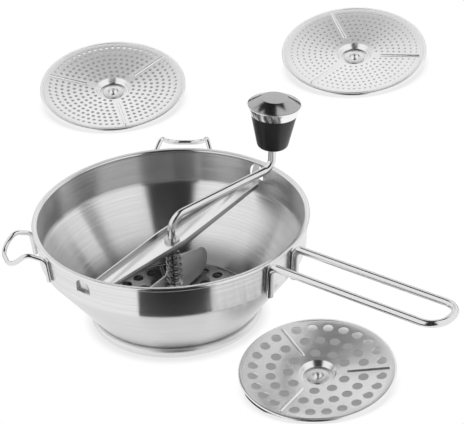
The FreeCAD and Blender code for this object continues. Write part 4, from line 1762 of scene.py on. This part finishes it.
@dataclass
class Studio:
    """Floor with painted shade, backdrop light, lamps and the dark cards that the steel mirrors.

    Places are given as the camera sees them: right of the bowl's axis, behind it and over the table. They and
    all other lengths here are in metres. A range named open is one of how much of its surroundings a spot of
    the floor sees.
    """

    sky: float = 1.0
    sky_light: float = 0.6
    floor_half: float = 12.0
    floor_drop: float = 0.0002
    floor_grey: float = 0.75
    # Painted shadow on the floor under the loose sieves, seen through their holes, and where it clears
    hole_view: Spot = (0.0, -0.9, 0.45)
    hole_reach: float = 0.14
    hole_open: Point = (0.5, 0.85)
    sieve_shadow_tones: Point = (0.3, 0.55)
    hole_shift: float = 0.016
    hole_stretch: float = 1.24
    hole_edge: Point = (0.06, 0.067)
    bare_reach: float = 0.045
    bare_open: Point = (0.9, 0.97)
    # Painted shade round what stands on the floor
    shade_reach: float = 0.016
    shade_open: Point = (0.5, 0.85)
    shade_tone: float = 0.82
    # Painted shade on the floor inside the foot ring, and a lighter painted shade near the bowl for mirrored
    # rays
    foot_edge: Point = (0.064, 0.07)
    foot_shadow_tone: float = 0.03
    mirrored_edge: Point = (0.12, 0.16)
    mirrored_shade_tone: float = 0.9
    occlusion_samples: int = 24
    lamp_aim: float = 0.06
    left: float = -0.61
    right: float = 0.52
    near: float = -1.2
    roof: float = 2.2
    roof_far: float = 0.4
    wide_far: float = 1.42
    black: float = 0.02
    felt_scale: float = 40.0
    felt_shades: Point = (0.8, 1.2)
    felt_roughness: float = 0.9

    def build(self) -> None:
        """Set the stage."""
        self._floor()
        self._world()
        self._lamp("key", (-1.6, 0.9, 2.2), size=1.6, power=22.0)
        self._lamp("fill", (1.9, -0.6, 1.6), size=1.4, power=12.0)
        front = upright_card(self.left, self.right, away=self.near, top=self.roof)
        self._card("front_card", front, self.black)
        roof = level_card(self.left, self.right, near=self.near, far=self.roof_far, height=self.roof)
        self._card("roof_card", roof, self.black)
        wide = level_card(left=-1.1, right=1.42, near=self.roof_far, far=self.wide_far, height=self.roof)
        self._card("wide_card", wide, self.black)
        ground = [(-0.06, -0.14, 0.001), (0.046, -0.14, 0.001)]
        ground += [(0.72, self.near, 0.001), (-0.62, self.near, 0.001)]
        self._card("floor_card", ground, tone=0.005)
        behind = level_card(left=-1.6, right=1.2, near=self.wide_far, far=1.65, height=self.roof)
        self._card("mid_card", behind, tone=0.35)
        low = level_card(left=-0.4, right=0.5, near=1.05, far=1.25, height=1.0)
        self._card("low_card", low, tone=0.5)
        back = upright_card(left=-2.6, right=2.6, away=1.7, top=0.32)
        self._card("back_card", back, tone=0.05)

    def _floor(self) -> None:
        """A white glowing floor, with painted shadow and shade close to what stands on it."""
        shape = bmesh.new()
        bmesh.ops.create_grid(shape, x_segments=1, y_segments=1, size=self.floor_half)
        floor = to_object(shape, "floor")
        floor.location.z = -self.floor_drop
        paint = Paint("pale floor")
        front = turn_z(Camera.azimuth) @ Vector(self.hole_view)
        # Painted shadow under the loose sieves, and the mask where it clears
        under = paint.remap(self._openness(paint, front, self.hole_reach), self.hole_open, self.sieve_shadow_tones)
        bare = paint.remap(self._openness(paint, front, self.bare_reach), self.bare_open, (0.0, 1.0))
        clear = paint.sum("MAXIMUM", self._off_sieve_shadows(paint), bare)
        # Painted shade round what stands on the floor
        around = self._openness(paint, Vector((0.0, 0.0, 1.0)), self.shade_reach)
        beside = paint.remap(around, self.shade_open, (self.shade_tone, 1.0))
        out = paint.length(paint.coordinates)
        # Painted shade inside the foot ring, and a lighter painted shade near the bowl for mirrored rays
        inside = paint.remap(out, self.foot_edge, (self.foot_shadow_tone, 1.0))
        mirrored = paint.remap(out, self.mirrored_edge, (self.mirrored_shade_tone, 1.0))
        glossy = paint.add("ShaderNodeLightPath").outputs["Is Glossy Ray"]
        mirroring = paint.sum("MULTIPLY", glossy, clear)
        outside = paint.blend(mirroring, paint.blend(clear, under, beside), mirrored)
        level = paint.sum("MULTIPLY", outside, inside)
        seen = paint.add("ShaderNodeEmission", {"Color": (1, 1, 1, 1), "Strength": level}).outputs[0]
        grey = (self.floor_grey, self.floor_grey, self.floor_grey, 1)
        plain = paint.add("ShaderNodeBsdfDiffuse", {"Color": grey}).outputs[0]
        mix = paint.add("ShaderNodeMixShader", {0: seen_directly(paint), 1: plain, 2: seen}).outputs[0]
        paint.feed(paint.tree.nodes["Material Output"].inputs["Surface"], mix)
        paint.tree.nodes.remove(paint.surface)
        floor.data.materials.append(paint.material)

    def _openness(self, paint: Paint, front: Vector, reach: float) -> Socket:
        """One where nothing stands within reach on the side that front points to, less where something does.

        Args:
            paint: the floor's material.
            front: the side.
            reach: how far away a thing still counts.

        Returns:
            The number.
        """
        inputs = {"Distance": reach, "Normal": paint.vector(*front)}
        node = paint.add("ShaderNodeAmbientOcclusion", inputs, samples=self.occlusion_samples)
        return node.outputs["AO"]

    def _off_sieve_shadows(self, paint: Paint) -> Socket:
        """Nought where the painted shadow goes, on the floor that shows through the loose sieves' holes; one
        elsewhere.

        Args:
            paint: the floor's material.

        Returns:
            The number.
        """
        turn = turn_z(Camera.azimuth)
        nearest: Socket | float = 1.0
        for distance, azimuth in (COARSE_SPOT, MEDIUM_SPOT, FINE_SPOT):
            spot = turn_z(azimuth) @ Vector((distance * MM, 0, 0)) + turn @ Vector((0, self.hole_shift, 0))
            inputs = {"Vector": paint.coordinates, "Location": spot, "Rotation": turn.to_euler()}
            inputs["Scale"] = (1, self.hole_stretch, 1)
            own = paint.add("ShaderNodeMapping", inputs, vector_type="TEXTURE").outputs[0]
            nearest = paint.sum("MINIMUM", nearest, paint.length(own))
        return paint.remap(nearest, self.hole_edge, (0.0, 1.0))

    def _world(self) -> None:
        """White all round where it is seen, and softer as light."""
        world = bpy.data.worlds.new("white room")
        world.use_nodes = True
        work = NodeWork(world.node_tree)
        background = world.node_tree.nodes["Background"]
        work.feed(background.inputs["Color"], (1, 1, 1, 1))
        level = work.remap(seen_directly(work), (0.0, 1.0), (self.sky_light, self.sky))
        work.feed(background.inputs["Strength"], level)
        bpy.context.scene.world = world

    def _lamp(self, name: str, place: Spot, size: float, power: float) -> None:
        """A soft square lamp that points at the bowl.

        Args:
            name: name of the lamp.
            place: where it hangs.
            size: length of its side.
            power: its power in watts.
        """
        data = bpy.data.lights.new(name, "AREA")
        data.size = size
        data.energy = power
        lamp = bpy.data.objects.new(name, data)
        spot = turn_z(Camera.azimuth) @ Vector(place)
        lamp.location = spot
        lamp.rotation_euler = (Vector((0, 0, self.lamp_aim)) - spot).to_track_quat("-Z", "Y").to_euler()
        lamp.visible_glossy = False
        bpy.context.scene.collection.objects.link(lamp)

    def _card(self, name: str, corners: list[Spot], tone: float) -> None:
        """A felt card that only mirroring surfaces show.

        Args:
            name: name of the card.
            corners: its four corners.
            tone: how light it is.
        """
        shape = bmesh.new()
        shape.faces.new([shape.verts.new(corner) for corner in corners])
        shape.transform(turn_z(Camera.azimuth))
        card = to_object(shape, name)
        paint = Paint(name)
        dark, light = ((tone * shade_of,) * 3 for shade_of in self.felt_shades)
        felt = paint.noise(paint.coordinates, self.felt_scale)
        paint.give("Base Color", paint.tint(felt, dark, light))
        paint.give("Roughness", self.felt_roughness)
        card.data.materials.append(paint.material)
        card.visible_camera = False
        card.visible_diffuse = False
        card.visible_shadow = False


# The whole set


def sieves() -> list[Sieve]:
    """The four sieves: one in the bowl and three on the table.

    Returns:
        The sieves, in the order of their making.
    """
    return [
        Sieve("seated_sieve", Body.BOWL, "fitted_disc", COARSE_HOLES, None, turn=20.0, finish=SEATED_STEEL_PAINTED_SHADE),
        Sieve("coarse_sieve_plate", Body.COARSE, "coarse_disc", COARSE_HOLES, COARSE_SPOT, turn=35.1),
        Sieve("medium_sieve_plate", Body.MEDIUM, "medium_disc", MEDIUM_HOLES, MEDIUM_SPOT, turn=78.5),
        Sieve("fine_sieve_plate", Body.FINE, "fine_disc", FINE_HOLES, FINE_SPOT, turn=25.5),
    ]


def dress_inner_nodes(frame: dict[str, Any]) -> None:
    """Give the CAD nodes that stay in sight, or inside, their finishes.

    Args:
        frame: the loaded frame.
    """
    steel = TURNED_STEEL.build()
    for node in ("blade_pin", "knob_stop_ring", "knob_retainer"):
        dress(frame["nodes"][node], steel)
    dress(frame["nodes"]["knob_sleeve"], SLEEVE_PALE.build())


def main() -> None:
    """Build the mill, its sieves and the studio."""
    logging.basicConfig(level=logging.INFO, format="%(message)s")
    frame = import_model()
    bpy.context.scene.view_settings.view_transform = "Standard"
    Camera().build()
    wires = wire_recipe()
    bowl = Bowl()
    bowl.build()
    WireWork(bowl, wires).build()
    pierced = pierced_recipe()
    for sieve in sieves():
        sieve.build(pierced)
    Bridge().build()
    Carriage().build(coil_recipe())
    crank = Crank(wires)
    crank.build()
    Knob(crank).build()
    dress_inner_nodes(frame)
    Studio().build()


if __name__ == "__main__":
    main()
